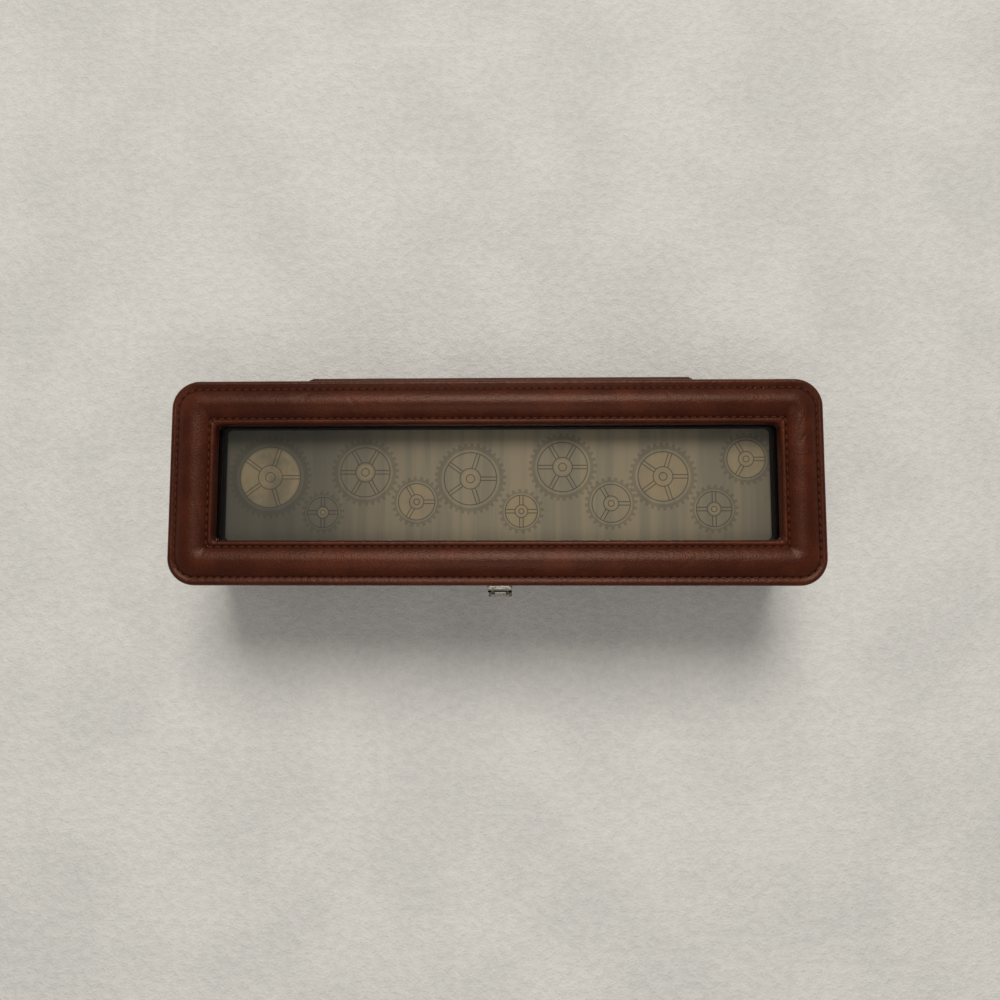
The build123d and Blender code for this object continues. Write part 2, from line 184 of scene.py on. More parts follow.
class Paint:
    """The node tree of a material or of the world, built from expressions."""

    def __init__(self, owner: bpy.types.Material | bpy.types.World) -> None:
        """Starts an empty tree.

        Args:
            owner: What the tree belongs to.
        """
        self.owner = owner
        owner.use_nodes = True
        self.tree = owner.node_tree
        self.tree.nodes.clear()
        self._object: bpy.types.NodeSocket | None = None

    def node(self, kind: str, settings: dict | None = None, inputs: dict | None = None) -> bpy.types.Node:
        """Adds one node.

        Args:
            kind: The node's type.
            settings: Its properties, set first.
            inputs: Values, signals or sockets, by the name or the number of the input.

        Returns:
            The node.
        """
        made = self.tree.nodes.new(kind)
        for key, value in (settings or {}).items():
            setattr(made, key, value)
        for key, value in (inputs or {}).items():
            self.feed(made.inputs[key], value)
        return made

    def feed(self, socket: bpy.types.NodeSocket, value: object) -> None:
        """Links a signal or a socket to an input, or sets the input's own value.

        Args:
            socket: The input.
            value: A signal, a socket, a colour or a number.
        """
        if isinstance(value, Signal):
            value = value.socket
        if isinstance(value, bpy.types.NodeSocket):
            self.tree.links.new(value, socket)
        elif isinstance(value, tuple) and len(value) == 3 and socket.type == "RGBA":
            socket.default_value = (*value, 1.0)
        else:
            socket.default_value = value

    def math(self, operation: str, *values: Value) -> Signal:
        """A Math node on up to three values."""
        inputs = dict(enumerate(values))
        return Signal(self, self.node("ShaderNodeMath", {"operation": operation}, inputs).outputs[0])

    def place(self) -> bpy.types.NodeSocket:
        """The point on the piece, in metres.

        Returns:
            The socket that carries it.
        """
        if self._object is None:
            self._object = self.node("ShaderNodeTexCoord").outputs["Object"]
        return self._object

    def xyz(self, vector: bpy.types.NodeSocket) -> tuple[Signal, Signal, Signal]:
        """The three parts of a vector."""
        outputs = self.node("ShaderNodeSeparateXYZ", None, {0: vector}).outputs
        return tuple(Signal(self, socket) for socket in outputs)

    def stretched(self, scale: Colour) -> bpy.types.NodeSocket:
        """The point on the piece, scaled by a different number each way."""
        return self.node("ShaderNodeMapping", None, {"Vector": self.place(), "Scale": scale}).outputs[0]

    def cloud(self, size: float, detail: float = 2.0, at: bpy.types.NodeSocket | None = None) -> Signal:
        """Soft noise from 0 to 1, with spots of a size in metres."""
        inputs = {"Vector": at or self.place(), "Scale": 1 / size, "Detail": detail, "Roughness": 0.55}
        return Signal(self, self.node("ShaderNodeTexNoise", None, inputs).outputs["Fac"])

    def cells(self, size: float, feature: str = "F1") -> Signal:
        """The distance in a pattern of cells of a size in metres.

        Args:
            size: The size of a cell.
            feature: The distance that is measured.

        Returns:
            The distance, as a share of a cell.
        """
        inputs = {"Vector": self.place(), "Scale": 1 / size}
        outputs = self.node("ShaderNodeTexVoronoi", {"feature": feature}, inputs).outputs
        return Signal(self, outputs["Distance"])

    def own(self, name: str) -> Signal:
        """A number that the mesh carries at each of its points."""
        return Signal(self, self.node("ShaderNodeAttribute", {"attribute_name": name}).outputs["Fac"])

    def mixed(self, share: Value, first: object, second: object) -> bpy.types.NodeSocket:
        """A colour between two colours."""
        inputs = {0: share, 6: first, 7: second}
        return self.node("ShaderNodeMix", {"data_type": "RGBA"}, inputs).outputs[2]

    def bump(
        self, height: Signal, depth: float, under: bpy.types.NodeSocket | None = None,
    ) -> bpy.types.NodeSocket:
        """A normal that shows a height as relief of a depth in metres, over the relief under it.

        Args:
            height: The height, from 0 to 1.
            depth: The depth of the relief.
            under: The normal of the relief under it, if any.

        Returns:
            The normal.
        """
        inputs = {"Height": height, "Distance": depth, "Strength": 1.0}
        if under is not None:
            inputs["Normal"] = under
        return self.node("ShaderNodeBump", None, inputs).outputs[0]

    def surface(self, **inputs: object) -> bpy.types.Material:
        """Ends the tree in a Principled shader.

        Args:
            inputs: The shader's sockets, with _ for a space in a name.

        Returns:
            The finished material.
        """
        named = {key.replace("_", " "): value for key, value in inputs.items()}
        shader = self.node("ShaderNodeBsdfPrincipled", None, named)
        return self.output(shader.outputs[0])

    def output(self, shader: bpy.types.NodeSocket) -> bpy.types.Material:
        """Ends the tree in a shader."""
        self.node("ShaderNodeOutputMaterial", None, {"Surface": shader})
        return self.owner


@dataclass(frozen=True)
class Finish:
    """A surface finish, made into a material once."""

    name: str

    def build(self, paint: Paint) -> bpy.types.Material:
        """Builds the node tree.

        Args:
            paint: The tree of the material.

        Returns:
            The material.
        """
        raise NotImplementedError

    def material(self) -> bpy.types.Material:
        """The finish's material."""
        return bpy.data.materials.get(self.name) or self.build(Paint(bpy.data.materials.new(self.name)))


@dataclass(frozen=True)
class Leather(Finish):
    """Grained brown leather, with a mottled dye that painted shade darkens in its seams and creases."""

    base: Colour = (0.050, 0.0069, 0.0016)
    # the darkest tone, for the dye's own dark patches and for the painted shade
    deep_and_shade: Colour = (0.032, 0.0042, 0.0010)
    warm: Colour = (0.081, 0.0137, 0.0031)
    gloss: Colour = (1.0, 0.65, 0.50)
    specular: float = 0.37
    roughness: float = 0.36
    pebble: Pair = (0.75 * MM, 0.10 * MM)
    grain: Pair = (0.28 * MM, 0.035 * MM)
    crumple: Pair = (3.2 * MM, 0.13 * MM)
    mottle: float = 16 * MM
    drift: float = 60 * MM
    dust: float = 1.2 * MM

    def build(self, paint: Paint) -> bpy.types.Material:
        """Pebble, fine grain and crumples, each with a size and a depth, over a mottled dye that painted
        shade darkens where the mesh carries it.

        Args:
            paint: The tree of the material.

        Returns:
            The material.
        """
        pebble = paint.cells(self.pebble[0], "SMOOTH_F1")
        grain = paint.cells(self.grain[0])
        mottle = paint.cloud(self.mottle, 3.0)
        drift = paint.cloud(self.drift, 1.0)
        dust = paint.cloud(self.dust, 3.0)
        # painted shade: a number that the mesh carries, which darkens the dye and roughens it in seams,
        # creases and over the hinge strip
        painted_shade = paint.own("painted_shade")
        tone = paint.mixed(mottle.fade(0.38, 0.70), self.base, self.warm)
        tone = paint.mixed(drift.fade(0.42, 0.70) * 0.6, tone, self.deep_and_shade)
        tone = paint.mixed(pebble.fade(0.30, 0.62) * 0.42, tone, self.deep_and_shade)
        tone = paint.mixed(painted_shade * 0.85, tone, self.deep_and_shade)
        shine = self.roughness + (mottle - 0.5) * 0.10 + (dust - 0.5) * 0.16 + painted_shade * 0.14
        relief = paint.bump(1.0 - pebble, self.pebble[1])
        relief = paint.bump(1.0 - grain, self.grain[1], relief)
        relief = paint.bump(paint.cloud(self.crumple[0], 4.0), self.crumple[1], relief)
        return paint.surface(
            Base_Color=tone, Roughness=shine, Normal=relief, Specular_IOR_Level=self.specular,
            Specular_Tint=(*self.gloss, 1.0),
        )


@dataclass(frozen=True)
class Velvet(Finish):
    """Short pile, brushed one way in patches."""

    colour: Colour = (0.011, 0.0100, 0.0102)
    pile: Colour = (0.040, 0.0375, 0.0385)
    sheen: float = 0.35
    hair: Pair = (0.35 * MM, 0.12 * MM)
    patch: float = 14 * MM

    def build(self, paint: Paint) -> bpy.types.Material:
        """Fine pile of a size and a depth, with lighter patches where it is brushed over.

        Args:
            paint: The tree of the material.

        Returns:
            The material.
        """
        pile = paint.cloud(self.hair[0], 3.0)
        brushed = paint.cloud(self.patch, 3.0).fade(0.42, 0.70)
        tone = paint.mixed(brushed * 0.45 + pile * 0.35, self.colour, self.pile)
        return paint.surface(
            Base_Color=tone, Roughness=0.92, Normal=paint.bump(pile, self.hair[1]),
            Sheen_Weight=self.sheen, Sheen_Roughness=0.45, Specular_IOR_Level=DULL,
        )


@dataclass(frozen=True)
class Metal(Finish):
    """Plated metal with a fine brushed grain and a few scuffs."""

    colour: Colour = (0.47, 0.445, 0.40)
    tarnish: Colour = (0.27, 0.245, 0.21)
    roughness: float = 0.26
    brushing: Pair = (0.5 * MM, 0.012 * MM)
    scuff: float = 2.5 * MM

    def build(self, paint: Paint) -> bpy.types.Material:
        """A polished plate, brushed along X with lines of a size and a depth, and duller in its scuffs.

        Args:
            paint: The tree of the material.

        Returns:
            The material.
        """
        lines = paint.cloud(self.brushing[0], 3.0, paint.stretched((0.15, 1.0, 1.0)))
        scuffs = paint.cloud(self.scuff, 4.0).fade(0.52, 0.74)
        tone = paint.mixed(scuffs * 0.6, self.colour, self.tarnish)
        shine = self.roughness + lines * 0.12 + scuffs * 0.18
        relief = paint.bump(lines, self.brushing[1])
        return paint.surface(Base_Color=tone, Roughness=shine, Metallic=1.0, Normal=relief)


@dataclass(frozen=True)
class Thread(Finish):
    """Waxed sewing thread with a twist."""

    colour: Colour = (0.150, 0.046, 0.0165)
    shade: Colour = (0.052, 0.0125, 0.0042)
    twist: Pair = (0.55 * MM, 0.05 * MM)
    wear_and_shade: float = 7 * MM

    def build(self, paint: Paint) -> bpy.types.Material:
        """Strands twisted at a pitch and with a depth, lighter on their crests and darker, by painted shade,
        in the grooves between them.

        Args:
            paint: The tree of the material.

        Returns:
            The material.
        """
        x, y, z = paint.xyz(paint.place())
        twist = ((x + y + z * 1.5) * (TAU / self.twist[0])).sine().fade(-0.6, 0.8)
        # painted shade: the darker tone lies in the twist's grooves, where the bump is low
        tone = paint.mixed(twist * 0.7 + paint.cloud(self.wear_and_shade) * 0.2, self.shade, self.colour)
        relief = paint.bump(twist, self.twist[1])
        return paint.surface(Base_Color=tone, Roughness=0.72, Normal=relief, Specular_IOR_Level=0.12)


@dataclass(frozen=True)
class HoleShade(Finish):
    """Painted shade: the near-black of the inside of a needle hole, and of the shadow line under the latch's
    knuckle.
    """

    colour: Colour = (0.006, 0.003, 0.002)
    edge: Colour = (0.014, 0.006, 0.004)
    fleck: float = 0.4 * MM

    def build(self, paint: Paint) -> bpy.types.Material:
        """A near-black, rough surface that paints shade.

        Args:
            paint: The tree of the material.

        Returns:
            The material.
        """
        tone = paint.mixed(paint.cloud(self.fleck), self.colour, self.edge)
        return paint.surface(Base_Color=tone, Roughness=0.95, Specular_IOR_Level=DULL)


@dataclass(frozen=True)
class Glass(Finish):
    """A clear, polished pane, which mirrors more at a low angle."""

    tint: Colour = (0.955, 0.97, 0.965)
    ior: float = 1.5
    mirror: float = 0.35
    smear: float = 30 * MM

    def build(self, paint: Paint) -> bpy.types.Material:
        """Light goes straight through, but for the share that the surface mirrors.

        Args:
            paint: The tree of the material.

        Returns:
            The material.
        """
        smears = paint.cloud(self.smear, 3.0).fade(0.45, 0.8)
        clear = paint.node("ShaderNodeBsdfTransparent", None, {"Color": self.tint})
        glossy = paint.node("ShaderNodeBsdfGlossy", None, {"Roughness": smears * 0.04 + 0.01})
        share = Signal(paint, paint.node("ShaderNodeFresnel", None, {"IOR": self.ior}).outputs[0])
        inputs = {0: share * self.mirror, 1: clear.outputs[0], 2: glossy.outputs[0]}
        return paint.output(paint.node("ShaderNodeMixShader", None, inputs).outputs[0])


@dataclass(frozen=True)
class Wheel:
    """One toothed wheel of the printed card, with sizes in millimetres."""

    x: float
    y: float
    radius: float
    teeth: int
    spokes: int
    filled: bool = False


@dataclass(frozen=True)
class PrintedCard(Finish):
    """A grey-green card, printed with a train of toothed wheels in fine lines, under a painted pool of light
    that fades to painted shade away from its middle.
    """

    paper: Colour = (0.356, 0.270, 0.174)
    shade: Colour = (0.272, 0.218, 0.150)
    # Painted light and shade: the dark tone that the card fades into away from a painted pool of light, then
    # the pool's middle and its reach.
    painted_shade_tone: Colour = (0.060, 0.053, 0.043)
    painted_light_centre: Pair = (34 * MM, -5 * MM)
    reach: Pair = (152 * MM, 72 * MM)
    ink: Colour = (0.040, 0.033, 0.023)
    disc: Colour = (0.400, 0.284, 0.156)
    back: Colour = (0.20, 0.16, 0.11)
    line: float = 0.34 * MM
    tooth: float = 0.8 * MM
    spoke: float = 0.9 * MM
    root: float = 0.84
    rim: float = 0.76
    hub: float = 0.30
    bore: float = 0.12
    band: float = 5.5 * MM
    fibre: Pair = (0.8 * MM, 0.02 * MM)
    wash: float = 11 * MM
    wheels: tuple[Wheel, ...] = (
        Wheel(-118, 4, 21, 40, 5, True),
        Wheel(-90, -14.5, 10.5, 20, 4),
        Wheel(-68, 6.5, 17, 32, 6),
        Wheel(-41, -9, 12.5, 24, 3, True),
        Wheel(-13, 3, 18, 34, 5),
        Wheel(13.5, -14, 11, 20, 4, True),
        Wheel(35, 9, 17, 32, 6),
        Wheel(60, -10, 13, 24, 3),
        Wheel(87, 4, 17, 32, 5, True),
        Wheel(113, -13, 12, 22, 4),
        Wheel(130, 13, 13, 24, 3, True),
    )

    def wheel_marks(self, paint: Paint, x: Signal, y: Signal, wheel: Wheel) -> tuple[Signal, Signal]:
        """The ink and the tinted disc of one wheel, whose parts are shares of its radius.

        Args:
            paint: The card's tree.
            x: The place along the card.
            y: The place across the card.
            wheel: The wheel to draw.

        Returns:
            The share of ink and the share of tint.
        """
        dx, dy = x - wheel.x * MM, y - wheel.y * MM
        out = paint.math("SQRT", dx * dx + dy * dy)
        turn = paint.math("ARCTAN2", dy, dx)
        radius, soft, blur = wheel.radius * MM, self.line * 0.6, 1.5 * MM
        root, rim, hub, bore = (radius * share for share in (self.root, self.rim, self.hub, self.bore))
        teeth = ((turn * float(wheel.teeth)).sine() * 2.5).lower(1.0).higher(-1.0) * self.tooth + radius
        band = (teeth - out).fade(0.0, soft) * (out - root).fade(0.0, soft)
        gap = abs(out - rim).lower(abs(out - hub)).lower(abs(out - bore))
        spoke = abs(abs((turn * (wheel.spokes / 2)).sine()) * out * (2 / wheel.spokes) - self.spoke)
        between = (out - hub).fade(0.0, self.line) * (rim - out).fade(0.0, self.line)
        spoke_ink = (self.line - spoke).fade(0.0, soft) * between
        ink = (band * 0.42).higher((self.line - gap).fade(0.0, soft)).higher(spoke_ink)
        reach = radius * ((self.rim if wheel.filled else self.hub) - 0.02)
        tint = (reach - out).fade(-blur if wheel.filled else 0.0, blur)
        return ink, tint

    def build(self, paint: Paint) -> bpy.types.Material:
        """Faint upright bands, a painted pool of light fading to painted shade, tinted discs and the lines of
        the wheels, all on the upper side only.

        Args:
            paint: The tree of the material.

        Returns:
            The material.
        """
        x, y, z = paint.xyz(paint.place())
        low, high = extent("insert_card")
        inks, tints = zip(*(self.wheel_marks(paint, x, y, wheel) for wheel in self.wheels))
        ink = functools.reduce(Signal.higher, inks)
        tint = functools.reduce(Signal.higher, tints)
        bands = paint.cloud(self.band, 3.0, paint.stretched((1.0, 0.04, 0.04)))
        fibres = paint.cloud(self.fibre[0], 4.0)
        wash = paint.cloud(self.wash, 3.0).fade(0.30, 0.62)
        # painted light: how far each point lies from the middle of the pool of light, as shares of its reach
        along, across = (x - self.painted_light_centre[0]) / self.reach[0], (y - self.painted_light_centre[1]) / self.reach[1]
        painted_light_falloff = along**2.0 + across**2.0
        tone = paint.mixed(bands.fade(0.35, 0.65), self.shade, self.paper)
        # painted shade, deeper the farther a point is from the pool of light
        tone = paint.mixed(painted_light_falloff.fade(0.0, 1.0) * 0.80, tone, self.painted_shade_tone)
        tone = paint.mixed(tint * (0.28 + 0.45 * wash), tone, self.disc)
        tone = paint.mixed(ink * 0.80, tone, self.ink)
        tone = paint.mixed(fibres.fade(0.3, 0.8) * 0.10, tone, self.back)
        upper = (z - (low.z + high.z) / 2).fade(-0.05 * MM, 0.05 * MM)
        tone = paint.mixed(upper, paint.mixed(fibres.fade(0.3, 0.7), self.back, self.paper), tone)
        return paint.surface(Base_Color=tone, Roughness=0.68, Normal=paint.bump(fibres, self.fibre[1]))


@dataclass(frozen=True)
class Matted(Finish):
    """A matt stuff of fibres, or of open cells, in two tones."""

    colour: Colour
    shade: Colour
    size: float
    depth: float
    roughness: float
    band: Pair
    open_cells: bool = False

    def build(self, paint: Paint) -> bpy.types.Material:
        """Fibres or cells of a size and a depth.

        Args:
            paint: The tree of the material.

        Returns:
            The material.
        """
        grain = paint.cells(self.size) if self.open_cells else paint.cloud(self.size, 5.0)
        tone = paint.mixed(grain.fade(*self.band), self.colour, self.shade)
        relief = paint.bump(grain, self.depth)
        return paint.surface(Base_Color=tone, Roughness=self.roughness, Normal=relief)


@dataclass(frozen=True)
class Carpet(Finish):
    """The pale floor under the box."""

    colour: Colour = (0.87, 0.855, 0.81)
    shade: Colour = (0.71, 0.702, 0.675)
    pile: Pair = (1.4 * MM, 0.5 * MM)
    clump: Pair = (5 * MM, 0.9 * MM)
    patch: float = 75 * MM

    def build(self, paint: Paint) -> bpy.types.Material:
        """Short pale pile and clumps, each with a size and a depth, brushed over in patches.

        Args:
            paint: The tree of the material.

        Returns:
            The material.
        """
        pile = paint.cloud(self.pile[0], 4.0)
        clumps = paint.cloud(self.clump[0], 5.0)
        patches = paint.cloud(self.patch, 3.0)
        share = pile.fade(0.35, 0.70) * 0.25 + clumps.fade(0.35, 0.65) * 0.35 + patches.fade(0.35, 0.65) * 0.4
        relief = paint.bump(clumps, self.clump[1], paint.bump(pile, self.pile[1]))
        return paint.surface(
            Base_Color=paint.mixed(share, self.shade, self.colour), Roughness=0.95, Normal=relief,
            Specular_IOR_Level=DULL,
        )


LEATHER = Leather("brown_leather")
LINING = Velvet("black_velvet")
# A reddish near-black: black velvet, tinted with painted shade of the leather wall in shadow beside it.
RING_AND_SHADE = Velvet("ring_velvet_and_shade", colour=(0.0034, 0.0013, 0.0009), pile=(0.0100, 0.0050, 0.0038), sheen=0.04)
CUSHION = Velvet("cushion_velvet", colour=(0.019, 0.0178, 0.0185), pile=(0.072, 0.068, 0.070), sheen=0.55)
NICKEL = Metal("nickel_plate")
STEEL = Metal("zinc_plate", colour=(0.50, 0.47, 0.42), tarnish=(0.25, 0.22, 0.18), roughness=0.34)
THREAD = Thread("brown_thread")
# painted shade, for the needle holes and the latch's shadow line
HOLE_SHADE = HoleShade("needle_hole_shade")
FIBREBOARD = Matted(
    "fibreboard", (0.34, 0.24, 0.15), (0.22, 0.15, 0.09), 0.9 * MM, 0.08 * MM, 0.9, (0.3, 0.7),
)
FOAM = Matted(
    "padding_foam", (0.40, 0.36, 0.25), (0.62, 0.58, 0.44), 0.7 * MM, 0.15 * MM, 0.95, (0.2, 0.7), True,
)
FELT = Matted(
    "base_felt", (0.022, 0.021, 0.022), (0.055, 0.053, 0.052), 0.8 * MM, 0.2 * MM, 0.97, (0.4, 0.75),
)


def clamp(value: float, low: float = 0.0, high: float = 1.0) -> float:
    """A value held between two others."""
    return min(max(value, low), high)


def bell(distance: float, width: float) -> float:
    """A smooth bump of height 1 and of a width, at a distance from its middle."""
    return math.exp(-((distance / width) ** 2))


def corners(along: float, across: float) -> list[Pair]:
    """The corners of a rectangle round the middle, from the front right one."""
    return [(along, -across), (along, across), (-along, across), (-along, -across)]


def quarter(centre: Pair, radius: float, start: float, steps: int) -> list[Pair]:
    """A quarter of a circle, clockwise.

    Args:
        centre: Its middle.
        radius: Its radius.
        start: Its first angle, in quarter turns.
        steps: Its steps.

    Returns:
        Its points, with both ends.
    """
    angles = ((start - step / steps) * math.pi / 2 for step in range(steps + 1))
    return [(centre[0] + radius * math.cos(angle), centre[1] + radius * math.sin(angle)) for angle in angles]


def running(line: Sequence[Vector]) -> list[float]:
    """The distance along a line at each of its points.

    Args:
        line: The points of the line.

    Returns:
        The distances, of which the last is the line's length.
    """
    runs = [0.0]
    for first, second in zip(line, line[1:]):
        runs.append(runs[-1] + (second - first).length)
    return runs


@dataclass(frozen=True)
class Track:
    """A rounded rectangle round the box, with the same number of points at every inset."""

    half_length: float
    half_depth: float
    long_steps: int
    short_steps: int
    corner_steps: int

    def points(self, inset: float, radius: float) -> list[tuple[Vector, Vector]]:
        """The points of the outline, anticlockwise from the front right corner.

        Args:
            inset: How far the outline is set in.
            radius: Its corner radius.

        Returns:
            For each point, its place and the way out of the box there, both level.
        """
        across, along = self.half_depth - inset - radius, self.half_length - inset - radius
        arcs = []
        for number, centre in enumerate(corners(along, across)):
            arc = []
            for step in range(self.corner_steps + 1):
                angle = (number - 1 + step / self.corner_steps) * math.pi / 2
                out = Vector((math.cos(angle), math.sin(angle), 0.0))
                arc.append((Vector((*centre, 0.0)) + out * radius, out))
            arcs.append(arc)
        found = []
        for number, arc in enumerate(arcs):
            found += arc
            steps = self.long_steps if number % 2 else self.short_steps
            start, end = arc[-1], arcs[(number + 1) % 4][0]
            found += [(start[0].lerp(end[0], step / steps), start[1]) for step in range(1, steps)]
        return found


def to_mesh(name: str, bm: bmesh.types.BMesh) -> bpy.types.Mesh:
    """A mesh of a name, from a working mesh that is freed.

    Args:
        name: The mesh's name.
        bm: The working mesh.

    Returns:
        The mesh.
    """
    mesh = bpy.data.meshes.new(name)
    bm.to_mesh(mesh)
    bm.free()
    return mesh


def pour(bm: bmesh.types.BMesh, part: bmesh.types.BMesh) -> None:
    """Adds one working mesh to another, and frees it.

    Args:
        bm: The mesh to add to.
        part: The mesh to add, which is freed.
    """
    mesh = to_mesh("part", part)
    bm.from_mesh(mesh)
    bpy.data.meshes.remove(mesh)


def in_scene(name: str, data: bpy.types.ID) -> bpy.types.Object:
    """A new object in the scene.

    Args:
        name: The object's name.
        data: Its mesh, lamp or camera.

    Returns:
        The object.
    """
    made = bpy.data.objects.new(name, data)
    bpy.context.scene.collection.objects.link(made)
    return made


def scattered(pattern: bmesh.types.BMesh, places: Iterable[Matrix]) -> bmesh.types.BMesh:
    """Copies of one small mesh at many places.

    Args:
        pattern: The mesh, which is freed.
        places: The turn, size and place of each copy.

    Returns:
        All the copies in one mesh.
    """
    first = to_mesh("pattern", pattern)
    whole = bmesh.new()
    for place in places:
        copy = first.copy()
        copy.transform(place)
        whole.from_mesh(copy)
        bpy.data.meshes.remove(copy)
    bpy.data.meshes.remove(first)
    return whole


def small_ball(sides: int, rings: int) -> bmesh.types.BMesh:
    """A ball of radius 1 with few faces, its poles along X.

    Args:
        sides: Its faces round X.
        rings: Its faces from pole to pole.

    Returns:
        The ball.
    """
    bm = bmesh.new()
    turn = Matrix.Rotation(math.pi / 2, 4, "Y")
    bmesh.ops.create_uvsphere(bm, u_segments=sides, v_segments=rings, radius=1.0, matrix=turn)
    return bm


@functools.cache
def extent(node: str) -> tuple[Vector, Vector]:
    """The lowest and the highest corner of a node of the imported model."""
    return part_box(node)


def middle_and_half(node: str) -> tuple[Vector, Vector]:
    """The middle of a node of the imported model, and half its size each way."""
    low, high = extent(node)
    return (low + high) / 2, (high - low) / 2


def joint_place(name: str) -> Vector:
    """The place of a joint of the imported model."""
    return Vector(next(joint["pos_m"] for joint in frame["joints"] if joint["name"] == name))


def slice_at(bm: bmesh.types.BMesh, x: float) -> None:
    """Cuts a mesh across X, and keeps both sides."""
    geometry = [*bm.verts, *bm.edges, *bm.faces]
    bmesh.ops.bisect_plane(bm, geom=geometry, plane_co=(x, 0, 0), plane_no=(1, 0, 0))


def grid_mesh(
    columns: int, rows: int, place: Callable[[int, int], Vector],
    painted_shade: Callable[[int, int], float] | None = None,
) -> bmesh.types.BMesh:
    """A grid whose points are moved into place, and welded where its edges then meet.

    Args:
        columns: Steps one way.
        rows: Steps the other way.
        place: Gives the place of the point at a column and a row.
        painted_shade: Gives how much painted shade that point gets, from 0 to 1.

    Returns:
        The mesh, with its faces turned outwards.
    """
    bm = bmesh.new()
    bmesh.ops.create_grid(bm, x_segments=columns, y_segments=rows, size=1.0)
    layer = bm.verts.layers.float.new("painted_shade")
    for vertex in bm.verts:
        column = round((vertex.co.x + 1) / 2 * columns)
        row = round((vertex.co.y + 1) / 2 * rows)
        vertex.co = place(column, row)
        # the painted shade at each point, kept on the mesh for the leather to read
        if painted_shade is not None:
            vertex[layer] = painted_shade(column, row)
    bmesh.ops.remove_doubles(bm, verts=bm.verts, dist=WELD / 10)
    bmesh.ops.recalc_face_normals(bm, faces=bm.faces)
    return bm


def add_piece(
    name: str, bm: bmesh.types.BMesh, finish: Finish, slot: Slot, body: Body | None = None,
    replaces: str | None = None, crease: float = 40.0,
) -> bpy.types.Object:
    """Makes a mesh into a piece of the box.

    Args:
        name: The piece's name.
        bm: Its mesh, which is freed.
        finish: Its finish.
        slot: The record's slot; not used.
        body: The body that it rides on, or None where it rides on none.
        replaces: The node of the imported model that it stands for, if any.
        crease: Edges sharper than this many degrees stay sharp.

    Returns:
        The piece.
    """
    mesh = to_mesh(name, bm)
    mesh.materials.append(finish.material())
    mesh.shade_smooth()
    mesh.set_sharp_from_angle(angle=math.radians(crease))
    piece = in_scene(name, mesh)
    if body is not None:
        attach(piece, body.value)
    if replaces is not None:
        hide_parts(replaces)
    LOG.info("%s: %d faces", name, len(mesh.polygons))
    return piece


def dress(finish: Finish, *nodes: str) -> None:
    """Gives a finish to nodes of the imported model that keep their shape.

    Args:
        finish: The finish.
        nodes: The names of the nodes.
    """
    for name in nodes:
        node = frame["nodes"][name]
        node.data.materials.clear()
        node.data.materials.append(finish.material())
        LOG.info("%s: dressed in %s", name, finish.name)


def softened_mesh(node: str, width: float, segments: int = 3) -> bmesh.types.BMesh:
    """A merged copy of a node's mesh with its sharp edges rounded.

    Args:
        node: The node's name.
        width: The width of the rounding.
        segments: Steps in the rounding.

    Returns:
        The copy.
    """
    bm = bmesh.new()
    bm.from_mesh(frame["nodes"][node].data)
    bmesh.ops.remove_doubles(bm, verts=bm.verts, dist=WELD)
    bmesh.ops.dissolve_limit(bm, angle_limit=FLAT_ANGLE, verts=bm.verts, edges=bm.edges)
    sharp = [e for e in bm.edges if len(e.link_faces) == 2 and e.calc_face_angle(0) > SHARP_ANGLE]
    bmesh.ops.bevel(
        bm, geom=sharp, offset=width, affect="EDGES", segments=segments, profile=0.5, material=-1,
        clamp_overlap=True,
    )
    return bm


def softened(
    node: str, width: float, finish: Finish, slot: Slot, body: Body, segments: int = 3,
) -> bpy.types.Object:
    """A piece that stands for a node, with its sharp edges rounded.

    Args:
        node: The node's name.
        width: The width of the rounding.
        finish: The finish.
        slot: The record's slot.
        body: The body that it rides on.
        segments: Steps in the rounding.

    Returns:
        The piece.
    """
    bm = softened_mesh(node, width, segments)
    return add_piece(f"{node}_soft", bm, finish, slot, body, node, 30.0)


@dataclass(frozen=True)
class Crease:
    """One crease in the leather of the lid, in millimetres, with its angle in radians."""

    x: float
    y: float
    angle: float
    length: float
    depth: float = 0.22
    width: float = 0.55
    bow: float = 0.05

    def press(self, point: Vector) -> float:
        """How far down the crease presses the leather at a point, from 0 to 1.

        Args:
            point: The point.

        Returns:
            The depth there, as a share of the crease's own.
        """
        dx, dy = point.x / MM - self.x, point.y / MM - self.y
        along = dx * math.cos(self.angle) + dy * math.sin(self.angle)
        bow = self.bow * along * along / self.length
        across = dy * math.cos(self.angle) - dx * math.sin(self.angle) - bow
        return math.exp(-((across / self.width) ** 2) - (along / (0.5 * self.length)) ** 4)


